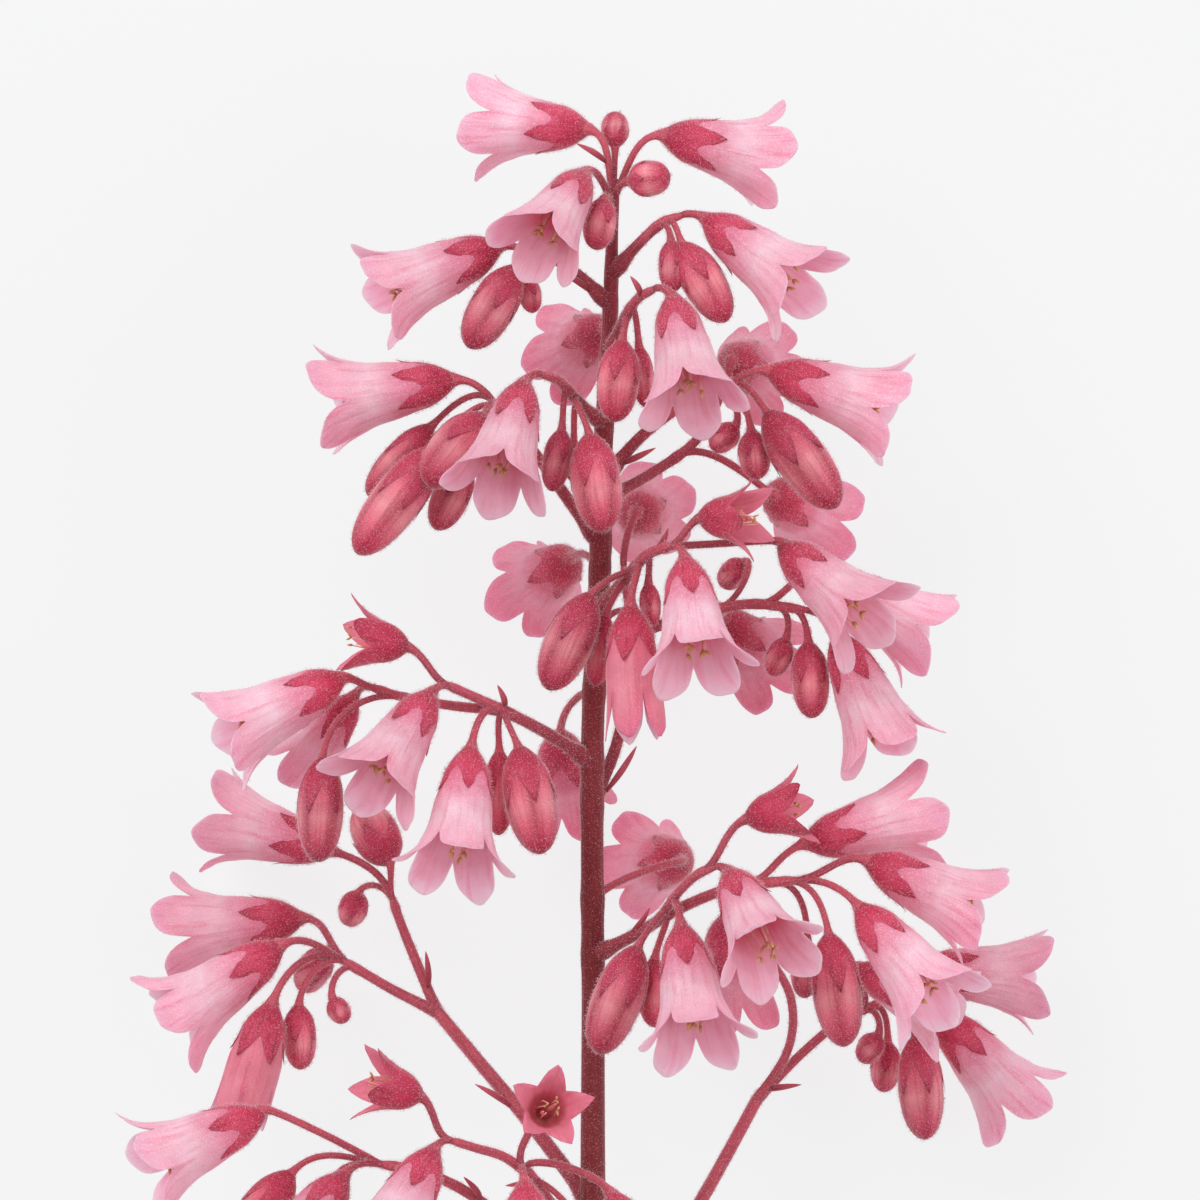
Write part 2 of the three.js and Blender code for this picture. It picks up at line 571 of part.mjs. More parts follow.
// The turn that carries +Z to the bloom's axis, the shortest way round, after a roll about +Z. The roll
// brings +X, where the first lobe is, to the bloom's upper side, give or take a little from bloom to bloom.
function placed(geometry, foot, tip, scale, number) {
  const axis = tip.clone().sub(foot).normalize();
  const turn = new THREE.Quaternion().setFromUnitVectors(new THREE.Vector3(0, 0, 1), axis);
  const back = turn.clone().invert();
  const top = new THREE.Vector3(0, 0, 1).addScaledVector(axis, -axis.z).applyQuaternion(back);
  const spread = (axis.z > LOOKING_UP ? TURN_UP : TURN_SIDE) * Math.sin(1.9 * number);
  const roll = Math.atan2(top.y, top.x) + spread;
  turn.multiply(new THREE.Quaternion().setFromAxisAngle(new THREE.Vector3(0, 0, 1), roll));
  const size = Array.isArray(scale) ? scale : [scale, scale, scale];
  return geometry.applyMatrix4(new THREE.Matrix4().compose(foot, turn, new THREE.Vector3(...size)));
}

// ---------------------------------------------------------------- growing a spray
let bloomNumber = 0;
const bells = [];

// The line of a flower's little stalk: it leaves its parent at start, and comes into the foot along the
// bloom's axis, so that the bloom hangs from an arch.
function pedicelCurve(start, leave, foot, tip, via) {
  const axis = tip.clone().sub(foot).normalize();
  const end = foot.clone().addScaledVector(axis, 0.5);
  const span = start.distanceTo(foot);
  const under = foot.clone().addScaledVector(axis, -0.8);
  if (via) return lineOf([start.toArray(), via, under.toArray(), end.toArray()]);
  return new THREE.CubicBezierCurve3(
    start,
    start.clone().addScaledVector(leave, 0.4 * span),
    end.clone().addScaledVector(axis, -0.45 * span),
    end,
  );
}

// One bloom with its little stalk, as solids for the spray. The pink bell goes to its own node.
function bloom(kind, start, leave, footPoint, tipPoint, width, via) {
  const foot = vec(footPoint);
  const tip = vec(tipPoint);
  const length = foot.distanceTo(tip);
  const number = ++bloomNumber;
  const curve = pedicelCurve(start, leave, foot, tip, via);
  const steps = Math.max(2, Math.min(5, Math.round(curve.getLength() / 2.4)));
  const sides = kind === "bud" ? THIN_SIDES : PEDICEL_SIDES;
  const solids = [solidOf(stalk(curve, () => PEDICEL_R, sides, steps))];
  if (kind === "bell") {
    const size = Math.min(1, length / FULL_BLOOM);
    const flare = (i) => FLARE[i] * (width || 1) + FLARE_SPREAD * Math.sin(2.3 * i + 1.7 * number);
    const form = {
      foot: BELL.foot,
      rings: [],
      throat: [BELL.throatR, (BELL.throatShare * length) / size],
      floor: BELL.floor,
      lobe: { ...BELL.lobe, length: (BELL.lobeShare * length) / size },
    };
    solids.push(solidOf(placed(calyxGeometry(), foot, tip, size, number)));
    bells.push(solidOf(placed(lobedGeometry(form, flare), foot, tip, size, number)));
  } else if (kind === "cup") {
    const flare = (i) => SPREAD_SEPALS + FLARE_SPREAD * Math.sin(2.3 * i + 1.7 * number);
    solids.push(solidOf(placed(lobedGeometry(CUP, flare), foot, tip, length / CUP_LENGTH, number)));
  } else {
    const across = width / BUD_WIDTH;
    const body = turned(BUD_PROFILE, width > 3.2 ? BUD_SIDES : BUD_SIDES - 1);
    solids.push(solidOf(placed(body, foot, tip, [across, across, length / BUD_LENGTH], number)));
  }
  return solids;
}

// The lengths and neighbours that tidying reads: every edge as [length, a, b], and each corner's triangles.
function edgesOf(points, triangles) {
  const around = new Map();
  const edges = new Map();
  triangles.forEach((triangle, t) => {
    triangle.forEach((a, k) => {
      const b = triangle[(k + 1) % 3];
      around.set(a, (around.get(a) ?? []).concat(t));
      if (a < b || !edges.has(`${b},${a}`)) edges.set(`${a},${b}`, [points[a].distanceTo(points[b]), a, b]);
    });
  });
  return { around, edges: [...edges.values()].sort((e, f) => e[0] - f[0]) };
}

// Edges shorter than SLIVER are drawn together to one corner wherever that leaves the skin closed.
function withoutShortEdges(points, triangles) {
  for (;;) {
    const { around, edges } = edgesOf(points, triangles);
    const near = (a) => new Set(around.get(a).flatMap((t) => triangles[t]));
    const touched = new Set();
    const moved = new Map();
    for (const [length, a, b] of edges) {
      if (length > SLIVER) break;
      const ring = [...near(a), ...near(b)];
      if (ring.some((p) => touched.has(p))) continue;
      const shared = [...near(a)].filter((p) => p !== a && p !== b && near(b).has(p));
      if (shared.length !== 2) continue;
      ring.forEach((p) => touched.add(p));
      moved.set(b, a);
    }
    if (!moved.size) return triangles;
    triangles = triangles
      .map((triangle) => triangle.map((p) => moved.get(p) ?? p))
      .filter(([a, b, c]) => a !== b && b !== c && c !== a);
  }
}

// A triangle almost without height gives its longest edge to its neighbour: the pair is split anew.
function withoutFlatTriangles(points, triangles) {
  const height = ([a, b, c]) => {
    const [p, q, r] = [points[a], points[b], points[c]];
    const area = q.clone().sub(p).cross(r.clone().sub(p)).length();
    return area / Math.max(p.distanceTo(q), q.distanceTo(r), r.distanceTo(p));
  };
  for (let pass = 0; pass < 12; pass++) {
    const owner = new Map();
    const own = (t) => (a, k) => owner.set(`${a},${triangles[t][(k + 1) % 3]}`, t);
    triangles.forEach((triangle, t) => triangle.forEach(own(t)));
    const used = new Set();
    let flips = 0;
    triangles.forEach((triangle, t) => {
      if (used.has(t) || height(triangle) > 0.2 * SLIVER) return;
      const lengths = triangle.map((a, k) => points[a].distanceTo(points[triangle[(k + 1) % 3]]));
      const k = lengths.indexOf(Math.max(...lengths));
      const [a, b, c] = [triangle[k], triangle[(k + 1) % 3], triangle[(k + 2) % 3]];
      const other = owner.get(`${b},${a}`);
      const d = triangles[other].find((p) => p !== a && p !== b);
      if (used.has(other) || c === d || owner.has(`${c},${d}`) || owner.has(`${d},${c}`)) return;
      const pair = [
        [a, d, c],
        [d, b, c],
      ];
      if (Math.min(...pair.map(height)) <= height(triangle)) return;
      [triangles[t], triangles[other]] = pair;
      used.add(t).add(other);
      flips++;
    });
    if (!flips) break;
  }
  return triangles;
}

function tidied(solid) {
  const { vertProperties, triVerts } = solid.getMesh();
  const points = [];
  for (let i = 0; i < vertProperties.length; i += 3) points.push(vec(vertProperties.slice(i, i + 3)));
  let triangles = [];
  for (let i = 0; i < triVerts.length; i += 3) triangles.push([...triVerts.slice(i, i + 3)]);
  triangles = withoutFlatTriangles(points, withoutShortEdges(points, triangles));
  triangles = withoutFlatTriangles(points, withoutShortEdges(points, triangles));
  return solidOf(meshFrom(points.map((p) => p.toArray()), triangles));
}

// The largest body of a solid: loose scraps are dropped and sealed hollows filled.
function largest(solid) {
  return solid.decompose().reduce((best, next) => (next.volume() > best.volume() ? next : best));
}

// Solids fused into one body, less the room of what passes through it.
function fused(solids, room) {
  let whole = solids.reduce((all, next) => all.add(next));
  if (room) whole = whole.subtract(room);
  return largest(tidied(largest(whole.simplify(0.2 * SLIVER))));
}

const lineOf = (points) => new THREE.CatmullRomCurve3(points.map(vec), false, "catmullrom", 0.5);

const stemCurve = lineOf(STEM.map(([x, y, z]) => [x, y, z]));
const stemRadius = (extra) => (t) => {
  const y = stemCurve.getPointAt(t).y;
  const k = Math.max(1, STEM.findIndex((p) => p[1] >= y - 1e-6));
  const [low, high] = [STEM[k - 1], STEM[k]];
  return low[3] + ((high[3] - low[3]) * (y - low[1])) / (high[1] - low[1]) + extra;
};
// The point on the stem's axis at a height y.
function stemPoint(y) {
  let t = 0;
  while (t < 1 && stemCurve.getPointAt(t).y < y) t += 0.002;
  return stemCurve.getPointAt(Math.min(t, 1));
}

const bract = ([foot, tip]) => {
  const line = new THREE.LineCurve3(vec(foot), vec(tip));
  return solidOf(stalk(line, (t) => BRACT_R * (1 - 0.7 * t), 3, 1));
};

function mainStem() {
  const solids = [solidOf(stalk(stemCurve, stemRadius(0), STEM_SIDES, 10)), ...STEM_BRACTS.map(bract)];
  for (const [kind, y, foot, tip, width] of STEM_BLOOMS) {
    const start = stemPoint(y);
    const leave = vec(foot).sub(start).normalize().add(new THREE.Vector3(0, 0.4, 0)).normalize();
    solids.push(...bloom(kind, start, leave, foot, tip, width));
  }
  return fused(solids);
}

function sideStalk(curve, [low, high]) {
  const steps = Math.round(curve.getLength() / STALK_STEP);
  return solidOf(stalk(curve, (t) => low + (high - low) * t, STALK_SIDES, steps));
}

function spray({ stalks, bracts = [], blooms }, room) {
  const curves = stalks.map(({ line }) => lineOf(line));
  const solids = stalks.map(({ r }, i) => sideStalk(curves[i], r));
  for (const [kind, from, along, foot, tip, width, via] of blooms) {
    const start = curves[from].getPointAt(along);
    const leave = curves[from].getTangentAt(along);
    solids.push(...bloom(kind, start, leave, foot, tip, width, via));
  }
  return fused(solids.concat(bracts.map(bract)), room);
}

// ---------------------------------------------------------------- the plant
const nodes = [["stem", mainStem(), STALK_FINISH]];
const stemRoom = solidOf(stalk(stemCurve, stemRadius(SEAT_GAP), STEM_SIDES, 10));
for (const form of SPRAYS) nodes.push([`spray_${form.name}`, spray(form, stemRoom), SPRAY_FINISH]);
bells.forEach((bell, i) => nodes.push([`bell_${String(i + 1).padStart(2, "0")}`, bell, BELL_FINISH]));

const plant = new THREE.Group();
for (const [name, solid, finish] of nodes) plant.add(meshOf(solid, name, finish));

const size = new THREE.Box3().setFromObject(plant);
plant.position.set(-(size.min.x + size.max.x) / 2, -(size.min.y + size.max.y) / 2, -size.min.z);

export default plant;
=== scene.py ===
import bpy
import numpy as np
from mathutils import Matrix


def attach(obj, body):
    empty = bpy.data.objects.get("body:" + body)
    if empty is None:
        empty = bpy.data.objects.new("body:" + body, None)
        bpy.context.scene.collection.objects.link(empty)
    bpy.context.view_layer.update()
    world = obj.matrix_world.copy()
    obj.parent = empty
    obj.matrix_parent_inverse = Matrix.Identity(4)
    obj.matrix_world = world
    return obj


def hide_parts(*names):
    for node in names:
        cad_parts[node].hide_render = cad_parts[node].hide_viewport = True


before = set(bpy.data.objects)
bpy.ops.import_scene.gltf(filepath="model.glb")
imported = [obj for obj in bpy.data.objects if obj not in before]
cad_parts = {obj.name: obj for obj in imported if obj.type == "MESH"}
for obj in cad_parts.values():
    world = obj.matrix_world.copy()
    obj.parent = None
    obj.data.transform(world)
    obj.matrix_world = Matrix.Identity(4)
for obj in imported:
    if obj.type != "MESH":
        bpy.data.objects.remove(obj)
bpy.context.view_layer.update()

# A cut flowering stem of heuchera, also called coral bells, lying on a pale surface. The plant's tables are
# in millimetres, from a point on the stem's axis half way up the flowering part, with the stem along Y.

# ---------------- main stem
# One round wiry stem, deep red and finely ribbed, that thins towards its tip and swells a little at each
# fork. It was cut with a knife at the foot, so the pale pith shows there.
MIDDLE = np.array([0.42, 21.17, 26.33])  # where the tables' own zero is in the frame
STEM = [
    (0.2, -95, -3, 1.4),
    (-0.4, -80, -1, 1.35),
    (-0.7, -60, 0, 1.24),
    (-0.7, -40, 0, 1.12),
    (-0.8, -20, 0, 1.12),
    (-0.7, -12, 0, 1.12),
    (-0.3, -3, 0, 1.06),
    (0.1, 6, 0, 1.03),
    (0.4, 17, 0, 0.9),
    (1, 28, 0, 0.75),
    (1.2, 36, 0, 0.6),
    (1.4, 42, 0, 0.5),
]

STEM_BLOOMS = [
    ("bud", 41.6, (1.5, 45.4, -0.6), (1.5, 48.9, -0.9), 2.8),
    ("bell", 40.4, (-1.2, 47.1, 0.6), (-11.9, 47.9, -4.6)),
    ("bell", 40, (6.3, 46.5, 0.4), (17.3, 44.1, -4.2)),
    ("bell", 39.6, (-1.5, 42.6, 4.4), (-6.6, 34.6, 11.4), 0.5),
    ("bud", 40.6, (3, 41.8, 2.2), (6.9, 42.3, 4), 3.6),
    ("bud", 39.2, (0.3, 39.9, 3.4), (-0.4, 34.9, 4.8), 3.3),
    ("bell", 22, (0.4, 27.2, -7), (-3, 25, -18.8), 0.6),
    ("bell", 3, (-3, 4.2, -8.6), (-6.8, 1.2, -20), 0.6),
    ("bell", -9, (-4, -13.6, -9), (-3.6, -20.6, -18.6), 0.7),
    ("bell", -30, (8.2, -26.2, -8.4), (4.4, -26.9, -20.8), 0.7),
]

STEM_BRACTS = [
    ((0.75, 43.7, 0.7), (-2.4, 45.6, 2)),
    ((0.6, -19.2, -0.8), (3.7, -14.6, -2.6)),
]

SPRAYS = {}


def side_spray(name, branches, bracts, *rows):
    """A side spray: its branches (radius at the foot, at the tip, line), its bracts (foot, tip) and a row for
    each bloom: kind, branch, how far along that it leaves, foot and tip, then for a bud its width in mm,
    for some bells how much they flare, and for two bells a point that the stalk runs through."""
    SPRAYS[name] = (branches, bracts, rows)


side_spray(
    "upper_right",
    [(0.6, 0.45, ((1.1, 32.4, 0), (3.5, 35.2, 1.4), (6, 37.5, 2.4), (8.2, 38.4, 3)))],
    [((3.2, 34.6, 1.6), (5.2, 37.2, 3.4))],
    ("bell", 0, 1, (10.5, 38.1, 3.2), (20.8, 30.4, 7.4)),
    ("bud", 0, 0.72, (7.1, 35.7, 4.6), (7.2, 30.6, 5.6), 2.7),
    ("bud", 0, 0.8, (8.2, 35.3, 4.6), (12.6, 27.7, 6.4), 4.3),
)
side_spray(
    "upper_left",
    [(0.6, 0.45, ((1, 29.4, 0), (-1.8, 32.2, 0.8), (-4.6, 34, 1.4), (-7.6, 35, 1.8)))],
    [((-0.9, 30.8, 0.6), (-4.4, 33, 2.4))],
    ("bell", 0, 1, (-10, 35.4, 2), (-22.6, 30, 3.4)),
    ("bud", 0, 0.92, (-8.5, 33, 3.4), (-13.1, 25.1, 5), 4.6),
    ("bud", 0, 0.85, (-7.4, 32.2, 0.8), (-6.6, 28.7, 0.6), 2.3),
)
side_spray(
    "front_high",
    [(0.55, 0.45, ((0.9, 24.6, 0), (2.1, 27.4, 3.6), (3.6, 29.8, 6.8), (5.4, 30.9, 9.2)))],
    [((4.2, 29.8, 7.8), (3, 32.2, 8))],
    ("bell", 0, 1, (7.2, 30.1, 10.6), (9.3, 18.7, 17)),
    ("bud", 0, 0.5, (2.2, 25.6, 6), (1.4, 17.7, 7.6), 4.2),
    ("bud", 0, 0.6, (3.9, 25.2, 3.4), (4.6, 19.2, 3.6), 2.3),
)
side_spray(
    "front_left",
    [(0.6, 0.45, ((0.3, 17.6, 0), (-2.2, 19.8, 4.4), (-4, 21.7, 7.8), (-5.8, 22.4, 10.2)))],
    [],
    ("bell", 0, 1, (-7.5, 21.6, 11.6), (-10.4, 10.7, 17.8)),
    ("bud", 0, 0.45, (-1, 16.2, 8.2), (0.3, 6.7, 9.6), 5),
    ("bud", 0, 0.6, (-3.8, 16.8, 6.4), (-4.8, 10.8, 7.2), 2.9),
    ("bud", 0, 0.4, (-2.6, 15.6, 4.6), (-2.8, 11.8, 4.8), 1.7),
)
side_spray(
    "mid_left",
    [(0.65, 0.45, ((0, 5.6, 0), (-3.6, 10.6, 1.6), (-7.2, 15.6, 2.4), (-10.8, 20, 3.2)))],
    [],
    ("bell", 0, 1, (-14.5, 22, 3), (-27.6, 19.7, 0.6)),
    ("bud", 0, 0.97, (-17, 17.2, 0.6), (-23.2, 10.4, 1), 3.7),
    ("bud", 0, 0.9, (-16.6, 14.8, 5.4), (-24.2, 4.6, 7), 5),
    ("bud", 0, 0.95, (-11.6, 18.2, 6.2), (-17.2, 11.4, 8.8), 5.3),
    ("bud", 0, 0.85, (-13.4, 13.6, 2.2), (-16.4, 7, 3.2), 3.8),
)
side_spray(
    "mid_right",
    [(0.65, 0.45, ((0.3, 12, 0), (4.2, 16.4, 1.4), (8.6, 19.6, 2.2), (13.4, 21.9, 2.8)))],
    [((2.2, 13.6, 0.8), (5.6, 15.2, 2.4))],
    ("bell", 0, 1, (16.8, 22.9, 3), (29.6, 18.6, 2)),
    ("bud", 0, 0.95, (16.8, 18.4, 4.6), (23.6, 9.2, 6.2), 5.2),
    ("bud", 0, 0.9, (15.1, 16.8, 3), (15.7, 12, 3.4), 3.2),
    ("bud", 0, 0.85, (13.6, 17.4, 1), (11.2, 15, 0.2), 2.7),
)
side_spray(
    "back_high",
    [(0.6, 0.45, ((0.2, 10, 0), (5, 12.6, -3.4), (9.6, 16, -5.4), (12.2, 20.6, -6.2)))],
    [],
    ("bell", 0, 1, (13.2, 24, -7), (16.4, 23.2, -19), 0.6),
    ("bell", 0, 0.55, (17.4, 10.6, -6.4), (22, 8.6, -18), 0.65),
)
side_spray(
    "back_mid",
    [(0.65, 0.45, ((-0.8, -20.4, 0), (1.8, -14, -4.2), (3.2, -5, -8.4), (2.4, 3.4, -11.6)))],
    [],
    ("bell", 0, 1, (3.6, 8.8, -12.8), (4.8, 9, -25.2), 0.6),
    ("bud", 0, 0.8, (0.4, -2, -11.8), (-2.4, -6.4, -13), 2.8),
)
side_spray(
    "front_right",
    [(0.65, 0.5, ((-0.1, -1, 0), (2.2, 1.8, 5.2), (4.6, 4.4, 9.4), (7.2, 5.5, 11.8)))],
    [((5.4, 4.6, 10.2), (6.8, 7.2, 10.6))],
    ("cup", 0, 1, (10, 8.2, 12.4), (17.7, 8, 15.8)),
    ("bell", 0, 0.95, (18, 5.4, 9.6), (27.2, -2.5, 14.7), 0, (12, 5.6, 9.4)),
    ("bell", 0, 0.98, (8.4, 4.1, 13.6), (9.7, -7.3, 20.3)),
    ("tight", 0, 0.62, (3, -0.6, 10.8), (3.6, -13.8, 12.4)),
    ("bud", 0, 0.5, (-1.1, 0.3, 8.4), (-5.2, -8.9, 10.2), 4.9),
    ("bud", 0, 0.45, (0.5, -1.6, 6), (-0.5, -8.6, 5.6), 2.7),
    ("bud", 0, 0.75, (4.8, 1.6, 7.6), (5.2, -2.6, 7.4), 2.1),
)
side_spray(
    "right",
    [(0.65, 0.45, ((-0.4, -5.4, 0), (4.2, -3.2, 2.2), (9.6, -1.4, 3.4), (15, -0.4, 3.4), (20.6, -1, 3.2)))],
    [],
    ("bell", 0, 0.78, (22, 2.6, 2.4), (33.4, -4, 0.8)),
    ("bell", 0, 1, (23.6, -3.4, 3.8), (28.9, -15.4, 5.4)),
    ("bell", 0, 0.55, (12.2, -2, -2.4), (16.8, -6.4, -13), 0.8),
    ("bud", 0, 0.92, (20.8, -4.4, 2.2), (21.2, -11.8, 2.8), 3.8),
    ("bud", 0, 0.85, (18.6, -3.9, 1.2), (17.1, -7.6, 0.8), 2.6),
    ("bud", 0, 0.6, (14.4, 3.8, -0.6), (12.2, 1.4, -2.4), 2.8),
)
side_spray(
    "left",
    [
        (0.68, 0.45, ((-0.9, -16.2, 0), (-5.4, -13.2, 3.8), (-10.2, -10.7, 7.2), (-15.2, -8.4, 9.6))),
        (0.5, 0.42, ((-9.6, -11, 6.8), (-14.8, -10.5, 6.4), (-19.8, -9.6, 5.8), (-23, -8.6, 5.6))),
    ],
    [((-9.4, -10.9, 6.8), (-10.2, -8.4, 7.8))],
    ("cup", 0, 1, (-19.2, -4.6, 9.6), (-27.3, -3.2, 10.6)),
    ("bell", 0, 0.97, (-16.7, -9.2, 11.2), (-22.9, -18.9, 16.7)),
    ("bell", 1, 1, (-25.6, -7.7, 6.2), (-38, -13.8, 7.4)),
    ("bell", 1, 0.9, (-24.6, -9.6, 1.6), (-29.8, -17, -2.6), 0.75),
    ("bud", 1, 0.72, (-27.6, -16, 8.6), (-27.9, -26, 9.6), 4.6),
    ("bell", 0, 0.66, (-12.8, -14.7, 10.4), (-14.4, -27.2, 16.7)),
    ("bud", 0, 0.6, (-8, -14.9, 8.8), (-5.8, -25.2, 10), 5.1),
    ("bud", 0, 0.62, (-10, -15.2, 6.4), (-10.1, -23.4, 6), 3.1),
)
side_spray(
    "low_right",
    [
        (0.66, 0.45, (
            (-0.7, -35.6, 0), (3.8, -33.2, 3.8), (8, -30.6, 8), (13.4, -28.5, 8.8), (19.6, -27.8, 8.8),
        )),
        (0.5, 0.42, ((6, -31.8, 6.2), (7.6, -29.2, 10.2), (9.6, -27.2, 12.2), (11.4, -26.4, 13))),
    ],
    [((3, -33.4, 3.6), (5, -30.6, 4.8))],
    ("bell", 1, 0.35, (8, -32.2, 12), (9.7, -44.3, 18.3)),
    ("bud", 1, 0.2, (3.6, -34.7, 9.6), (-0.3, -45, 10.8), 5),
    ("bud", 0, 0.42, (5.4, -35.8, 7), (5.4, -42.5, 7), 3.3),
    ("bell", 1, 1, (12.7, -26.8, 13.6), (17.2, -35.6, 22)),
    ("cup", 1, 0.85, (14.6, -21.6, 12.6), (22.7, -19.8, 13.6)),
    ("bell", 0, 0.78, (20.3, -24.2, 6.6), (33, -21, 3.4)),
    ("bell", 0, 1, (26.5, -25.8, 9.4), (38.5, -31.5, 8.8)),
    ("bell", 0, 0.98, (25.7, -30.4, 11.4), (33.8, -40.3, 16.2)),
    ("bud", 0, 0.95, (22.7, -33.4, 11.4), (24.2, -44.2, 13), 4.9),
    ("bud", 0, 0.9, (20.6, -34, 7), (20.3, -39.6, 7), 3),
)
side_spray(
    "back_left",
    [
        (0.75, 0.62, ((-0.7, -60.6, 0), (-6.6, -53, -4.4), (-12.6, -46, -8.2), (-17.2, -40.6, -10.8))),
        (0.55, 0.45, (
            (-16.4, -41.6, -10.4), (-18.6, -36.5, -12.6), (-20.2, -32.6, -14), (-21, -30.2, -14.4),
        )),
        (0.55, 0.45, (
            (-16.4, -41.6, -10.4), (-20.8, -39.4, -11.4), (-23.6, -37.8, -11.8), (-26, -36.4, -12),
        )),
    ],
    [((-8.4, -51.2, -5.6), (-12.6, -48.6, -5.2)), ((-17.4, -39.6, -11.2), (-17.6, -35.4, -11))],
    ("bud", 1, 1, (-21.3, -26.4, -14.4), (-24.2, -21, -18.4), 4.8),
    ("bell", 1, 0.97, (-27.2, -25.4, -15.4), (-39.2, -22, -18.6), 0.9),
    ("bell", 2, 0.9, (-30.2, -32.2, -16.2), (-43, -33.8, -21.2), 0.85),
    ("bell", 2, 1, (-32.2, -34.8, -9.4), (-43.6, -42.8, -10.6)),
    ("tight", 2, 0.98, (-33, -40.6, -7.8), (-36.6, -53, -8.8)),
    ("bud", 2, 0.95, (-30.4, -41, -10.4), (-30.2, -47.4, -11), 3.4),
    ("bud", 2, 0.85, (-27, -40.2, -9.6), (-25.6, -42.6, -9.4), 2.3),
    ("bud", 2, 0.9, (-27.8, -35.6, -16.6), (-30.4, -39.6, -19.4), 3.5),
    ("bud", 1, 0.95, (-24.6, -29.8, -18.4), (-25.6, -33, -20.6), 3),
)
side_spray(
    "back_right",
    [
        (0.75, 0.6, ((-0.3, -77.6, -0.9), (5.4, -68.5, -5.6), (11.4, -58.5, -11), (16.4, -49.6, -14.8))),
        (0.5, 0.45, ((15.7, -50.8, -14.3), (20.4, -46, -16), (24.6, -42.6, -16.6), (29, -40.6, -16.8))),
        (0.45, 0.42, ((15.7, -50.8, -14.3), (19, -45.4, -12.4), (19.2, -40, -9.4), (16.4, -35, -7))),
    ],
    [((16.2, -49.6, -14.6), (20.4, -49, -13.4))],
    ("bell", 1, 1, (32.2, -37.4, -16.4), (44.8, -38.6, -18.2), 0.85),
    ("bell", 1, 0.97, (34.4, -42, -17.4), (43, -51.8, -20.8), 0.9),
    ("bud", 1, 0.93, (32, -44.4, -13.6), (32.9, -54.6, -13.6), 4.6),
    ("bud", 1, 0.85, (28.2, -44, -14.4), (26.4, -46.8, -14.2), 2.7),
    ("bud", 1, 0.9, (29.2, -45, -18.4), (28.8, -50, -19.4), 3.1),
    ("bell", 1, 0.8, (26, -37, -8.6), (35.6, -42, -6.4)),
    ("bell", 2, 1, (12.8, -31.8, -6.6), (13.2, -40.8, -14.4)),
)
side_spray(
    "low_left",
    [
        (0.7, 0.5, (
            (-0.6, -72.6, -0.4), (-5.8, -66, 2), (-11.6, -60.2, 3.6), (-17, -57.2, 4.4), (-21.8, -56.2, 4.8),
        )),
    ],
    [((-11.8, -59.8, 3.8), (-13.6, -57.4, 5.4))],
    ("bell", 0, 1, (-33.6, -51.1, 5.8), (-45.6, -56.6, 7.4), 0, (-27.4, -53.2, 6)),
    ("bell", 0, 0.98, (-25.4, -57.1, 8), (-32.5, -66.7, 12.5)),
    ("bud", 0, 0.95, (-31, -57.4, 1.8), (-36.8, -65, 2.2), 4.6),
    ("bud", 0, 0.9, (-27, -58.4, 2), (-28.4, -62.6, 1.6), 2.5),
)
side_spray(
    "front_low",
    [
        (0.66, 0.5, ((-0.6, -69, -0.2), (-2.8, -63.4, 5), (-6, -58.2, 9.6), (-7.6, -56.2, 11.2))),
        (0.5, 0.42, ((-7.2, -56.7, 10.8), (-9.6, -55.1, 11.6), (-12.2, -54.3, 11.6), (-14.8, -53.5, 11.6))),
    ],
    [((-6.4, -57.8, 9.8), (-9.4, -58, 11.8))],
    ("cup", 0, 1, (-5.6, -50.8, 12.2), (-4.4, -49.4, 20)),
    ("cup", 1, 1, (-17.8, -49.1, 12), (-25.5, -46.8, 14)),
    ("bell", 1, 0.97, (-16.4, -54.3, 13.2), (-21.8, -64.5, 18.4)),
    ("bell", 0, 0.98, (-7.4, -57.6, 14), (-6.7, -69.7, 20.1)),
    ("bell", 0, 0.95, (1.2, -58.8, 12.2), (6, -69.7, 16.9)),
    ("bud", 0, 0.85, (-2.6, -61, 12), (-1.4, -69.8, 13), 4.3),
)

MM = 0.001  # metres in a millimetre
TABLE = 0.05  # how near the table a skin comes, in mm


def unit(v):
    """v divided by its own length, along the last axis."""
    return v / np.maximum(np.linalg.norm(v, axis=-1, keepdims=True), 1e-9)


def even(line, count):
    """The line resampled as count points at equal steps of its length."""
    run = np.r_[0, np.cumsum(np.linalg.norm(np.diff(line, axis=0), axis=1))]
    s = np.linspace(0, run[-1], count)
    return np.stack([np.interp(s, run, column) for column in line.T], 1)


def smooth(corners, count):
    """A Catmull-Rom line through the corners: between p1 and p2 the point is
    p1 + t(p2-p0)/2 + t^2(2p0-5p1+4p2-p3)/2 + t^3(3p1-p0-3p2+p3)/2, then resampled evenly."""
    p = np.array(corners, float)
    p = np.vstack([2 * p[0] - p[1], p, 2 * p[-1] - p[-2]])
    t = np.linspace(0, 1, 40)[None, :, None]
    a, b, c, d = (p[i : len(p) - 3 + i, None] for i in range(4))
    fine = b + t * (c - a) / 2 + t**2 * (2 * a - 5 * b + 4 * c - d) / 2 + t**3 * (3 * b - a - 3 * c + d) / 2
    return even(fine.reshape(-1, p.shape[1]), count)


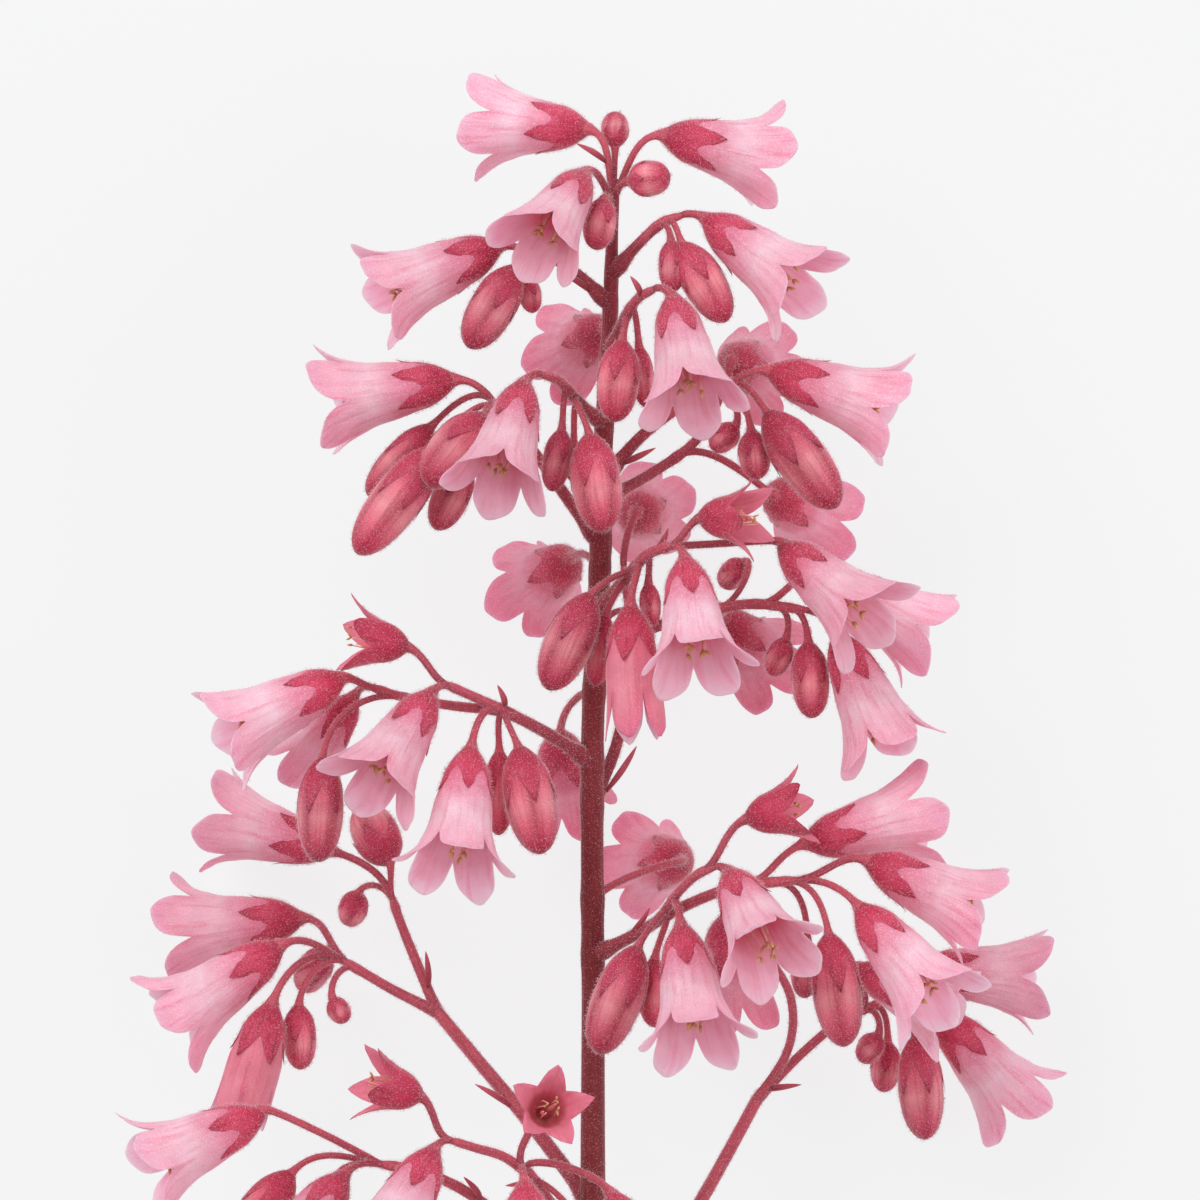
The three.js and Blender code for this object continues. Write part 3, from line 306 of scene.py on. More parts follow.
def skin(rings, growth, grain, foot=None, top=None):
    """Rings of points, each closed on itself, joined by bands of faces that look outwards. foot and top
    are the single points that close the two ends."""
    n, m = rings.shape[:2]
    k = np.arange(n * m).reshape(n, m)
    a, b = k[:-1], k[1:]
    quads = np.stack([a, np.roll(a, -1, 1), np.roll(b, -1, 1), b], -1).reshape(-1, 4)
    points, marks, grains, tris = [rings.reshape(-1, 3)], [growth.reshape(-1, 3)], [grain.reshape(-1, 3)], []
    for point, row, step in ((foot, 0, -1), (top, n - 1, 1)):
        if point is not None:
            pole = np.full(m, sum(len(p) for p in points))
            pair = (k[row], np.roll(k[row], -1)) if step > 0 else (np.roll(k[row], -1), k[row])
            tris.append(np.stack([pole, *pair], -1))
            points.append(np.array(point, float)[None])
            marks.append(growth[row].mean(0)[None])
            grains.append(grain[row].mean(0)[None])
    none = np.zeros((0, 3), int)
    return {
        "points": np.vstack(points),
        "quads": quads,
        "tris": np.vstack(tris) if tris else none,
        "growth": np.vstack(marks),
        "grain": np.vstack(grains),
    }


def tube(line, radius, sides, tint=0.5, ribs=0.0, low=0.0):
    """A round stalk carried along a line: point j of ring k is line[k] + radius[k](1 + ribs cos 6a)
    (cos a N + sin a B), where N and B stand square to the line. low is how far up a ramp its foot is."""
    tangent = unit(np.gradient(line, axis=0))
    side = np.cross(tangent[0], tangent[-1])
    if np.linalg.norm(side) < 0.05:
        side = np.cross(tangent[0], (0.31, 0.2, 0.93))
    normal = unit(np.cross(unit(side), tangent))
    across = np.cross(tangent, normal)
    a = np.linspace(0, 2 * np.pi, sides, endpoint=False)
    wide = np.broadcast_to(radius, len(line))[:, None] * (1 + ribs * np.cos(6 * a))
    rings = line[:, None] + wide[..., None] * (
        np.cos(a)[:, None] * normal[:, None] + np.sin(a)[:, None] * across[:, None]
    )
    step = np.linalg.norm(np.diff(line, axis=0), axis=1)
    run = np.r_[0, np.cumsum(step)]
    along = np.broadcast_to(np.linspace(low, 1, len(line))[:, None], wide.shape)
    growth = np.stack([along, np.zeros_like(along), np.full_like(along, tint)], -1)
    round_it = [np.broadcast_to(part, wide.shape) for part in (np.cos(a), np.sin(a))]
    grain = np.stack([*round_it, 0.09 * run[:, None] + 0 * wide], -1) + 7.0 * tint
    return skin(rings, growth, grain, line[0], line[-1] + 0.6 * wide[-1].mean() * tangent[-1])


def make_piece(name, shapes, finishes, nodes=(), wall=0.0):
    """The shapes as one smooth mesh in the frame, in metres, that rides on the plant's one body. With a wall,
    the shapes are outer skins, and they get that thickness inwards, less where a shape is marked as thin."""
    starts = np.cumsum([0] + [len(s["points"]) for s in shapes])
    points = (np.vstack([s["points"] for s in shapes]) + MIDDLE) * MM
    points[:, 2] = np.maximum(points[:, 2], TABLE * MM)  # a petal that reaches the table lies flat on it
    quads = np.vstack([s["quads"] + k for s, k in zip(shapes, starts)])
    tris = np.vstack([s["tris"] + k for s, k in zip(shapes, starts)])
    corners = np.r_[quads.ravel(), tris.ravel()]
    mesh = bpy.data.meshes.new(name)
    mesh.vertices.add(len(points))
    mesh.vertices.foreach_set("co", points.ravel())
    mesh.loops.add(len(corners))
    mesh.loops.foreach_set("vertex_index", corners)
    mesh.polygons.add(len(quads) + len(tris))
    first = np.r_[np.arange(len(quads)) * 4, len(quads) * 4 + np.arange(len(tris)) * 3]
    mesh.polygons.foreach_set("loop_start", first)
    mesh.update(calc_edges=True)
    mesh.shade_smooth()
    for mark in ("growth", "grain"):
        values = np.vstack([s[mark] for s in shapes])
        mesh.attributes.new(mark, "FLOAT_VECTOR", "POINT").data.foreach_set("vector", values.ravel())
    for finish in finishes:
        mesh.materials.append(finish)
    piece = bpy.data.objects.new(name, mesh)
    bpy.context.scene.collection.objects.link(piece)
    if wall:
        thick = piece.modifiers.new("wall", "SOLIDIFY")
        thick.thickness = wall * MM
        thick.offset = -1
        thick.material_offset = len(finishes) - 1
        thick.vertex_group = piece.vertex_groups.new(name="thickness").name
        step = np.ceil(8 * np.concatenate([s["thin"] for s in shapes]))
        for level in range(1, 9):
            piece.vertex_groups[0].add(np.flatnonzero(step == level).tolist(), level / 8, "REPLACE")
    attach(piece, "root")
    if nodes:
        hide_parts(*nodes)


def shown(r, g, b):
    """A colour as a screen shows it, 0 to 255 a channel, as the share of light that it sends back."""
    c = np.array([r, g, b]) / 255
    return (*np.where(c <= 0.04045, c / 12.92, ((c + 0.055) / 1.055) ** 2.4), 1.0)


def plant_skin(name, ramp, side, streak, speckle, bump, rough, soft, fuzz, pores=7500, wander=0.14):
    """A living surface. ramp gives the colour from a piece's foot to its tip, and wander how far its bands
    stray. side = (colour, from, to, share) paints towards a sector's edge, or its middle where from > to.
    streak = (colour, share, scale) paints lines that run with the growth, and speckle = (colour, share)
    small dots. bump = (height in mm of the streaks, of the pores). soft = (share of light that sinks
    in, how far in mm), and fuzz = (colour, share) is the bloom of down seen edge-on. Colours are given as
    shown() takes them."""
    finish = bpy.data.materials.new(name)
    finish.use_nodes = True
    tree = finish.node_tree
    paint = tree.nodes["Principled BSDF"]

    def node(kind, values=(), **settings):
        made = tree.nodes.new("ShaderNode" + kind)
        for key, value in settings.items():
            setattr(made, key, value)
        for key, value in dict(values).items():
            if isinstance(value, bpy.types.NodeSocket):
                tree.links.new(value, made.inputs[key])
            else:
                made.inputs[key].default_value = value
        return made

    def mix(share, low, high):
        """low turned into high by share, for colours."""
        made = node("Mix", {0: share, 6: low, 7: shown(*high)}, data_type="RGBA")
        return made.outputs[2]

    def span(value, low, high, bottom=0.0, top=1.0):
        """value from low..high as bottom..top, held at both ends."""
        keys = {"Value": value, "From Min": low, "From Max": high, "To Min": bottom, "To Max": top}
        return node("MapRange", keys).outputs[0]

    marks = node("SeparateXYZ", {0: node("Attribute", attribute_name="growth").outputs["Vector"]}).outputs
    lines = node("Attribute", attribute_name="grain").outputs["Vector"]
    place = node("TexCoord").outputs["Object"]
    cloud = node("TexNoise", {"Vector": place, "Scale": 520.0, "Detail": 3.0}).outputs[0]
    dots = node("TexNoise", {"Vector": place, "Scale": float(pores), "Detail": 1.0}).outputs[0]
    line = node("TexNoise", {"Vector": lines, "Scale": streak[2], "Detail": 4.0, "Roughness": 0.6}).outputs[0]
    strayed = node("Math", {0: cloud, 1: wander, 2: marks[0]}, operation="MULTIPLY_ADD").outputs[0]
    where = node("Math", {0: strayed, 1: wander / 2}, operation="SUBTRACT").outputs[0]
    bands = node("ValToRGB", {0: where})
    stops = bands.color_ramp.elements
    for k, (at, colour) in enumerate(ramp):
        stop = stops[k] if k < 2 else stops.new(at)
        stop.position, stop.color = at, shown(*colour)
    colour = bands.outputs[0]
    colour = mix(span(marks[1], side[1], side[2], 0.0, side[3]), colour, side[0])
    colour = mix(span(line, 0.49, 0.68, 0.0, streak[1]), colour, streak[0])
    colour = mix(span(dots, 0.53, 0.72, 0.0, speckle[1]), colour, speckle[0])
    own, mottled = span(marks[2], 0.0, 1.0, 0.88, 1.1), span(cloud, 0.34, 0.66, 0.94, 1.05)
    value = node("Math", {0: own, 1: mottled}, operation="MULTIPLY")
    hue = node("HueSaturation", {"Value": value.outputs[0], "Color": colour})
    tree.links.new(hue.outputs[0], paint.inputs["Base Color"])
    relief = node("Bump", {"Height": line, "Strength": 1.0, "Distance": bump[0] * MM})
    pits = {"Height": dots, "Strength": 1.0, "Distance": bump[1] * MM, "Normal": relief.outputs[0]}
    pitted = node("Bump", pits)
    tree.links.new(pitted.outputs[0], paint.inputs["Normal"])
    settings = {
        "Roughness": rough,
        "Specular IOR Level": 0.3,
        "Subsurface Weight": soft[0],
        "Subsurface Radius": (1.0, 0.52, 0.6),
        "Subsurface Scale": soft[1] * MM,
        "Sheen Weight": fuzz[1],
        "Sheen Roughness": 0.3,
        "Sheen Tint": shown(*fuzz[0]),
    }
    for key, value in settings.items():
        paint.inputs[key].default_value = value
    return finish


STEM_SKIN = plant_skin(
    "stem_skin",
    ramp=[(0.0, (118, 36, 40)), (0.45, (126, 36, 42)), (0.8, (136, 38, 50)), (1.0, (160, 52, 70))],
    side=((205, 200, 150), 0.2, 0.9, 1.0),
    streak=((94, 24, 32), 0.6, 3.2), speckle=((196, 112, 116), 0.5),
    bump=(0.12, 0.03), rough=0.6, soft=(0.15, 0.3),
    fuzz=((255, 222, 224), 0.9),
)
STEM_STEPS = 150
stem_line = smooth([row[:3] for row in STEM], STEM_STEPS)
stem_height = [row[1] for row in STEM]
stem_width = np.interp(stem_line[:, 1], stem_height, [row[3] for row in STEM])
forks = np.array([form[0][0][2][0][1] for form in SPRAYS.values()] + [row[1] for row in STEM_BLOOMS])
swell = np.exp(-(((stem_line[:, 1:2] - forks) / 1.3) ** 2)).max(1)
stem_width = stem_width * (1 + 0.1 * swell)
stem_width[0] *= 0.93  # the knife's cut rounds the foot a little
stem = tube(stem_line, stem_width, 28, ribs=0.022)
stem["growth"][-2, 1] = 1.0  # the pith at the cut
make_piece("main_stem", [stem], [STEM_SKIN], nodes=["stem"])
DOWN = {  # how many hairs a square mm of each kind of skin bears, and how long they are in mm
    "stem": (6.0, 0.13),
    "stalk": (15.0, 0.22),
    "cup": (11.0, 0.24),
    "bell": (1.5, 0.18),
    "bud": (9.0, 0.24),
    "spent": (6.0, 0.22),
}
downy = [("stem", stem, *DOWN["stem"])]  # each skin that bears hairs, with the branch that it belongs to

# ---------------- side stalks and the blooms' own stalks
# Thin red stalks that grow from the main stem and fork. Each bloom hangs from a little arched stalk of its
# own, which grows out of the side stalk in a thickened joint and widens again under the bloom.
FULL_BLOOM = 12  # mm: a bloom shorter than this is smaller all round
STALK_STEPS = 60  # points along a side stalk, and along a bloom's own
PEDICEL_STEPS = 22
STALK_SKIN = plant_skin(
    "stalk_skin",
    ramp=[(0.0, (130, 40, 48)), (0.16, (160, 58, 70)), (0.5, (184, 76, 92)), (1.0, (206, 88, 106))],
    side=((150, 50, 70), 0.2, 0.9, 0.0),
    streak=((120, 34, 48), 0.5, 2.6), speckle=((208, 130, 146), 0.45),
    bump=(0.08, 0.03), rough=0.62, soft=(0.2, 0.3),
    fuzz=((255, 224, 228), 1.0),
)


def pedicel(start, leave, foot, tip, via):
    """A bloom's own stalk: a cubic Bezier line that leaves its parent along leave and comes into the foot
    along the bloom's axis, or a smooth line by way of one more point."""
    axis = unit(tip - foot)
    end = foot + 0.5 * axis
    if via is not None:
        return smooth([start, via, foot - 0.8 * axis, end], PEDICEL_STEPS)
    span = np.linalg.norm(foot - start)
    t = np.linspace(0, 1, 60)[:, None]
    near, far = start + 0.4 * span * leave, end - 0.45 * span * axis
    line = (1 - t) ** 3 * start + 3 * t * (1 - t) ** 2 * near + 3 * t**2 * (1 - t) * far + t**3 * end
    return even(line, PEDICEL_STEPS)


def at(line, share):
    """The point of a line that share of its length along it, and the line's direction there."""
    k = share * (len(line) - 1)
    way = unit(np.gradient(line, axis=0))
    index = np.arange(len(line))
    return tuple(np.array([np.interp(k, index, column) for column in table.T]) for table in (line, way))


blooms = []


def grow(spray, kind, start, leave, foot, tip, width=0, via=None):
    """One bloom, with its number, its place and its own stalk's line, added to the list of blooms."""
    foot, tip = np.array(foot, float), np.array(tip, float)
    bloom = {
        "spray": spray,
        "kind": kind,
        "number": len(blooms) + 1,
        "foot": foot,
        "axis": unit(tip - foot),
        "length": np.linalg.norm(tip - foot),
        "width": width,  # a bud's, or how much a bell flares
        "size": min(1, np.linalg.norm(tip - foot) / FULL_BLOOM),
        "line": pedicel(start, leave, foot, tip, via),
        "tint": (0.37 + 0.618034 * len(blooms)) % 1 * (kind != "cup"),
    }
    blooms.append(bloom)


for kind, height, foot, tip, *more in STEM_BLOOMS:
    start = np.array([np.interp(height, stem_line[:, 1], column) for column in stem_line.T])
    leave = unit(unit(np.array(foot) - start) + (0, 0.4, 0))
    grow("stem", kind, start, leave, foot, tip, *more)

stalks = {"stem": []}
for spray, (branches, bracts, rows) in SPRAYS.items():
    lines = [smooth(line, STALK_STEPS) for low, high, line in branches]
    stalks[spray] = []
    for (low, high, line), points in zip(branches, lines):
        run = np.linspace(0, 1, STALK_STEPS)
        length = np.linalg.norm(np.diff(points, axis=0), axis=1).sum()
        # a side stalk swells where it leaves the stem's skin, and a fork where it leaves its parent's tip
        root, peak, reach, old = (0.42, 1.4, 1.25, 0.0) if stalks[spray] == [] else (0.2, 0.0, 1.5, 0.6)
        wide = low + (high - low) * run + root * low * np.exp(-(((run * length - peak) / reach) ** 2))
        wide = wide * (1 - 0.35 * np.exp(-(((1 - run) * length / 0.6) ** 2)))
        starts = [row[2] for row in rows if lines[row[1]] is points]
        joint = np.exp(-(((run[:, None] - starts) * length / 0.7) ** 2)).max(1) if starts else 0 * run
        stalks[spray].append(tube(points, wide * (1 + 0.14 * joint), 12, 0.5, ribs=0.03, low=old))
    for kind, branch, share, foot, tip, *more in rows:
        grow(spray, kind, *at(lines[branch], share), foot, tip, *more)

PEDICEL_R = 0.38  # mm
for bloom in blooms:
    run = np.linspace(0, 1, PEDICEL_STEPS)
    left = (1 - run) * np.linalg.norm(np.diff(bloom["line"], axis=0), axis=1).sum()
    thin, neck = (0.86, bloom["width"] / 5) if bloom["kind"] == "bud" else (1.0, bloom["size"])
    pinch, funnel = np.exp(-((run / 0.06) ** 2)), np.exp(-((left / 0.95) ** 2))
    wide = PEDICEL_R * thin * (1 - 0.12 * pinch + 1.25 * neck * funnel)
    stalks[bloom["spray"]].append(tube(bloom["line"], wide, 8, bloom["tint"], low=0.4))


for spray, shapes in stalks.items():
    downy += [(spray, shape, *DOWN["stalk"]) for shape in shapes]
    nodes = ["stem"] if spray == "stem" else ["spray_" + spray]
    make_piece("stalks_" + spray, shapes, [STALK_SKIN], nodes=nodes)

# ---------------- bracts
# A small pointed leaf, dark red and keeled, under each fork. It grows from the stalk by its narrow foot.
BRACT_HALF = 0.34  # mm
BRACT_BOW = 0.75  # how far a bract bows backwards at its middle, in mm


def leaf(foot, tip, number):
    """A lance-shaped blade: half width 0.34 sin(pi (0.12 + 0.88 t))^0.7, folded along its keel and bowed
    backwards."""
    foot, tip = np.array(foot), np.array(tip)
    way = unit(tip - foot)
    side = unit(np.cross(way, (0.3, 0.1, 1.0)))
    back = np.cross(side, way)
    t = np.linspace(0, 0.97, 14)[:, None, None]
    a = np.linspace(0, 2 * np.pi, 8, endpoint=False)[None, :, None]
    half = BRACT_HALF * np.sin(np.pi * (0.12 + 0.88 * t)) ** 0.7
    line = foot + (tip - foot) * t + back * BRACT_BOW * np.sin(np.pi * t)
    rings = line + half * np.cos(a) * side - (0.16 * half * np.sin(a) + 0.35 * half * np.cos(a) ** 2) * back
    along = np.broadcast_to(t[..., 0], rings.shape[:2])
    growth = np.stack([along, np.abs(np.cos(a[..., 0])) + 0 * along, 0 * along + 0.3], -1)
    grain = np.stack([np.cos(a[..., 0]) + 0 * along, 0 * along + number, along], -1)
    return skin(rings, growth, grain, foot, tip)


bract_rows = list(STEM_BRACTS) + [row for form in SPRAYS.values() for row in form[1]]
make_piece("bracts", [leaf(*row, k) for k, row in enumerate(bract_rows)], [STALK_SKIN])

# ---------------- calyx cups of the open blooms
# A deep rose urn that the bell hangs from: five pointed sepals, grown together below, lie on the bell and
# lift off it a little at their dark tips.
CUP_SKIN = plant_skin(
    "calyx_skin",
    ramp=[
        (0.0, (176, 62, 82)), (0.1, (184, 50, 78)), (0.3, (198, 42, 80)), (0.55, (214, 66, 100)),
        (0.8, (206, 62, 94)), (0.93, (182, 48, 78)), (1.0, (122, 26, 46)),
    ],
    side=((230, 112, 140), 0.45, 1.0, 0.45),
    streak=((164, 30, 62), 0.7, 5.0), speckle=((244, 160, 180), 0.42),
    bump=(0.08, 0.04), rough=0.6, soft=(0.3, 0.5),
    fuzz=((255, 232, 236), 0.8),
)
CALYX = {
    "half": [
        (0.3, -0.3), (0.72, 0.1), (1.22, 0.8), (1.75, 1.65),
        (2.17, 2.65), (2.45, 3.7), (2.68, 4.7), (2.92, 5.8),
    ],
    "throat": 3.25,
    "cap": (1.0, 0.95, 0.86),
    "columns": 12,
    "rows": 18,
    "lift": 0.12,
    "hug": 0.16,
}
LOOKING_UP = 0.35  # a bloom whose axis rises by more than this has its first lobe on top
TURN_UP = 0.12  # how far off the top that lobe is, in radians, and where the bloom doesn't look up
TURN_SIDE = 0.55
NOTCH_UP = (4, 17, 20, 38, 51, 65, 85, 92)  # these look up too, with the notch between two lobes on top


def five_lobed(form, bloom, size, arc=None, flares=(), wild=None):
    """A shell of five like sectors about a bloom's axis. Across a sector s runs from -1 to 1, and a column
    reaches past the throat by cap(s) = (1 - |s/w|^p)^q of a lobe's length. Below the throat a point has the
    radius and height of the half section, at the angle s pi/5 from the sector's middle. A lobe with an arc
    leaves the throat as the half section does and turns evenly to its flare, as a strip that grows flatter
    and 1 + spread sin^2(0.6 pi f) times as wide; without, it keeps to the half section."""
    half = smooth(form["half"], 240)
    run = np.r_[0, np.cumsum(np.linalg.norm(np.diff(half, axis=0), axis=1))]
    slope = np.unwrap(np.arctan2(np.gradient(half[:, 0]), np.gradient(half[:, 1])))
    low = run[-1] if arc else np.interp(form["throat"], half[:, 1], run)
    lobe = arc["length"] if arc else run[-1] - low
    q = np.linspace(-1, 1, form["columns"] + 1)[:-1]
    s = np.sin(q * np.pi / 2) * 0.35 + q * 0.65
    s = np.broadcast_to(s, (5, len(s)))[None]
    t = np.linspace(0, 1, form["rows"])[:, None, None]
    power, blunt, wide = form["cap"]
    cap = np.maximum(1 - np.abs(s / wide) ** power, 0) ** blunt
    if wild is not None:
        # one value for each lobe, along the grid's second axis
        wild = {key: np.atleast_1d(value)[None, :, None] for key, value in wild.items()}
        cap = cap * (1 + 0.07 * wild["long"] + 0.035 * np.sin(6.3 * s + wild["beat"]))
    body, share = 0.8 * low, 0.34
    above = body + (t - share) / (1 - share) * (low - body + lobe * cap)
    reach = np.where(t < share, t / share * body, above)
    f = np.clip((reach - low) / lobe, 0, 1.2)
    radius, height, lean = (np.interp(reach, run, table) for table in (half[:, 0], half[:, 1], slope))
    turn = s * np.pi / 5
    out, over = radius * np.cos(turn), radius * np.sin(turn)
    if arc:
        start = slope[-1]
        bend = np.array(flares)[None, :, None] - start
        bend = np.where(np.abs(bend) < 0.02, 0.02, bend)
        angle = start + bend * f
        base, top = half[-1]
        past = base + lobe * (np.cos(start) - np.cos(angle)) / bend
        rise = top + lobe * (np.sin(angle) - np.sin(start)) / bend
        flat = 1 - arc["flat"] * f
        strip = past - base * (1 - np.cos(turn)) * flat
        spread = 1 + arc["spread"] * np.sin(0.6 * np.pi * np.clip(f, 0, 1)) ** 2
        on = reach > low
        out = np.where(on, strip, out)
        over = np.where(on, base * np.sin(turn) * spread, over)
        height = np.where(on, rise, height)
        lean = np.where(on, angle, lean)
    own = 1 + 0.8 * np.sin(2.3 * np.arange(5) + bloom["number"])[None, :, None]
    push = form.get("lift", 0) * own * f**2 - form.get("hug", 0) * np.clip((t - 0.6) / 0.4, 0, 1) * (1 - f**3)
    if wild is not None:
        edge, beat = np.abs(s) ** 2, wild["beat"]
        grown = np.clip((reach - 0.45 * low) / (0.55 * low), 0, 1)
        push = push + 0.03 * np.cos(2 * np.pi * s + beat) * grown * (1 - f)
        push = push + 0.028 * np.cos(4 * np.pi * s) * grown
        push = push + wild["ruffle"] * edge * f * np.sin(beat + 4.4 * f + 1.3 * s)
        push = push + wild["twist"] * s * f**1.5 - wild["curl"] * edge * f
        over = over + wild["sway"] * f**2
    out, height = out + push * np.cos(lean), height - push * np.sin(lean)
    middle = (2 * np.pi * np.arange(5) / 5)[None, :, None]
    x, y = out * np.cos(middle) - over * np.sin(middle), out * np.sin(middle) + over * np.cos(middle)
    rings = np.stack([x, y, height + 0 * x], -1).reshape(form["rows"], -1, 3)
    along = reach / (low + lobe)
    theta = middle + turn + 0 * along
    edge = np.abs(s) * np.clip((reach / low - 0.8) / 0.2, 0, 1)
    growth = np.stack([along, edge, 0 * along + bloom["tint"]], -1).reshape(form["rows"], -1, 3)
    grain = np.stack([np.cos(theta), np.sin(theta), 0.35 * along], -1).reshape(form["rows"], -1, 3)
    shape = skin(rings, growth, grain + bloom["number"], (0, 0, half[0, 1]))
    shape["thin"] = np.r_[np.clip((1 - t) / 0.22 + 0.15 + 0 * along, 0.13, 1).ravel(), 1]
    return placed(shape, bloom, size)


def placed(shape, bloom, size):
    """A shape drawn round +Z at the origin, scaled, turned the shortest way onto the bloom's axis, rolled so
    that +X, where the first lobe is, comes near the bloom's upper side, and moved to its foot."""
    x, y, z = bloom["axis"]
    cross = np.array([[0, 0, x], [0, 0, y], [-x, -y, 0]])
    turn = np.eye(3) + cross + cross @ cross / (1 + z)
    top = turn.T @ (np.array([0, 0, 1]) - z * bloom["axis"])
    turned = TURN_UP if z > LOOKING_UP else TURN_SIDE
    roll = np.arctan2(top[1], top[0]) + turned * np.sin(1.9 * bloom["number"])
    roll += np.pi / 5 * (bloom["number"] in NOTCH_UP)
    spin = np.array([[np.cos(roll), -np.sin(roll), 0], [np.sin(roll), np.cos(roll), 0], [0, 0, 1]])
    shape["points"] = (shape["points"] * size) @ (turn @ spin).T + bloom["foot"]
    return shape


def of_kind(spray, *kinds):
    """The blooms of one branch that are of those kinds."""
    return [bloom for bloom in blooms if bloom["spray"] == spray and bloom["kind"] in kinds]


for spray in stalks:
    cups = [five_lobed(CALYX, bloom, bloom["size"]) for bloom in of_kind(spray, "bell", "tight")]
    if cups:
        downy += [(spray, cup, *DOWN["cup"]) for cup in cups]
        make_piece("calyces_" + spray, cups, [CUP_SKIN], wall=0.1)

# ---------------- bells
# The corolla of an open bloom: five petals grown into one thin pink bell, palest round its middle,
# with five rounded lobes that turn outwards at the mouth, each with its own curl.
PETAL = plant_skin(
    "petal",
    ramp=[
        (0.0, (232, 104, 136)), (0.24, (238, 128, 156)), (0.38, (243, 160, 182)), (0.54, (250, 194, 209)),
        (0.7, (247, 182, 200)), (0.86, (246, 176, 196)), (1.0, (243, 164, 188)),
    ],
    side=((238, 146, 172), 0.55, 1.0, 0.5),
    streak=((228, 116, 148), 0.5, 6.5), speckle=((255, 236, 242), 0.5),
    bump=(0.11, 0.02), rough=0.5, soft=(0.55, 0.7),
    fuzz=((255, 236, 242), 0.15),
)
# Painted light: towards the lobes' tips the inner face is paler than the outer, standing in for light that
# shines through the thin petals into the bell.
PETAL_INSIDE = plant_skin(
    "petal_inside",
    ramp=[(0.0, (212, 88, 108)), (0.38, (236, 136, 152)), (0.64, (250, 182, 197)), (1.0, (249, 181, 201))],
    side=((240, 158, 182), 0.55, 1.0, 0.5),
    streak=((232, 130, 158), 0.45, 6.5), speckle=((255, 214, 226), 0.25),
    bump=(0.1, 0.02), rough=0.5, soft=(0.7, 1.0),
    fuzz=((255, 236, 242), 0.1),
)
# Painted shade: a deeper pink copy of the petal's colours for the bells that face the floor, standing in for
# petals in shade with light shining through them.
PETAL_PAINTED_SHADE = plant_skin(
    "petal_painted_shade",
    ramp=[
        (0.0, (214, 84, 116)), (0.3, (226, 108, 138)), (0.52, (240, 158, 180)), (0.75, (240, 152, 176)),
        (1.0, (232, 132, 160)),
    ],
    side=((232, 126, 156), 0.55, 1.0, 0.5),
    streak=((220, 100, 134), 0.48, 6.5), speckle=((255, 220, 228), 0.45),
    bump=(0.11, 0.02), rough=0.5, soft=(0.55, 0.7),
    fuzz=((255, 236, 242), 0.15),
)
FLARE = np.array([0.88, 0.95, 0.72, 0.72, 0.95])  # how far the lobes have turned outwards at their tips, in
FLARE_SPREAD = 0.12  # radians, and how much that varies
FLARE_TOP = np.array([0.37, 0, 0, 0, 0])  # and how much further the lobe on top turns, where a bloom looks up


def lobe_waves(bloom):
    """A number from -1 to 1 for each lobe of a bloom: sin(2.3 k + 1.7 times the bloom's number)."""
    return np.sin(2.3 * np.arange(5) + 1.7 * bloom["number"])


def wildness(bloom, much=1.0):
    """How each lobe of a bloom departs from the rule: its length, ruffle, twist, curl and sway."""
    draw = np.random.default_rng(100 + bloom["number"])
    return {
        "long": draw.uniform(-1, 1, 5),
        "beat": draw.uniform(0, 2 * np.pi, 5),
        "twist": much * draw.uniform(-0.45, 0.45, 5),
        "curl": much * draw.uniform(-0.1, 0.35, 5),
        "sway": much * draw.uniform(-0.4, 0.4, 5),
        "ruffle": 0.16 * much,
    }


PETAL_WALL = 0.18  # mm
count = 0
for bloom in blooms:
    if bloom["kind"] != "bell":
        continue
    count += 1
    size = bloom["size"]
    long = bloom["length"] / size
    throat = 0.775 * long
    form = {
        "half": [
            (0.3, 2.55), (1.4, 2.58), (2.05, 2.75), (2.3, 3.4),
            (2.5, 4.4), (2.9, 6.4), (3.2, 0.82 * throat), (3.8, throat),
        ],
        "cap": (1.9, 0.6, 1.0),
        "columns": 18,
        "rows": 34,
    }
    arc = {"length": 0.285 * long, "flat": 0.6, "spread": 0.24}
    tops = FLARE_TOP * (bloom["axis"][2] > LOOKING_UP and bloom["number"] not in NOTCH_UP)
    flares = (FLARE + tops) * (bloom["width"] or 1)
    flares = flares + FLARE_SPREAD * lobe_waves(bloom)
    bell = five_lobed(form, bloom, size, arc, flares, wildness(bloom))
    downy.append((bloom["spray"], bell, *DOWN["bell"]))
    outside = PETAL_PAINTED_SHADE if bloom["axis"][2] < -0.5 else PETAL  # painted shade: bells that face the floor take the deeper pink shaded copy
    name, finishes = f"corolla_{count:02d}", [outside, PETAL_INSIDE]
    make_piece(name, [bell], finishes, nodes=[f"bell_{count:02d}"], wall=PETAL_WALL)

# ---------------- stamens and styles
# Five stamens stand in each bell's mouth: a pale pink thread with a tan two-lobed anther across its end.
# Between them two short styles taper from the seed vessel.
ANTHER = plant_skin(
    "anther",
    ramp=[(0.0, (180, 104, 76)), (0.5, (218, 154, 110)), (1.0, (234, 184, 142))],
    side=((166, 88, 66), 0.5, 1.0, 0.5),
    streak=((150, 76, 44), 0.4, 3.0), speckle=((250, 214, 170), 0.6),
    bump=(0.05, 0.06), rough=0.7, soft=(0.2, 0.2),
    fuzz=((255, 226, 190), 0.2),
    pores=9000,
)
FILAMENT = plant_skin(
    "filament",
    ramp=[(0.0, (222, 130, 140)), (1.0, (240, 178, 160))],
    side=((222, 130, 140), 0.5, 1.0, 0.0),
    streak=((214, 120, 130), 0.3, 3.0), speckle=((250, 210, 190), 0.3),
    bump=(0.02, 0.02), rough=0.5, soft=(0.4, 0.4),
    fuzz=((255, 236, 232), 0.1),
)


def bean(centre, way, half, wide, tint):
    """A pollen sac: rings of radius wide sin(pi t)^0.6 along a short line of that half length."""
    t = np.linspace(0.06, 0.94, 5)
    line = centre + way * half * (2 * t[:, None] - 1)
    return tube(line, wide * np.sin(np.pi * t) ** 0.6, 6, tint)


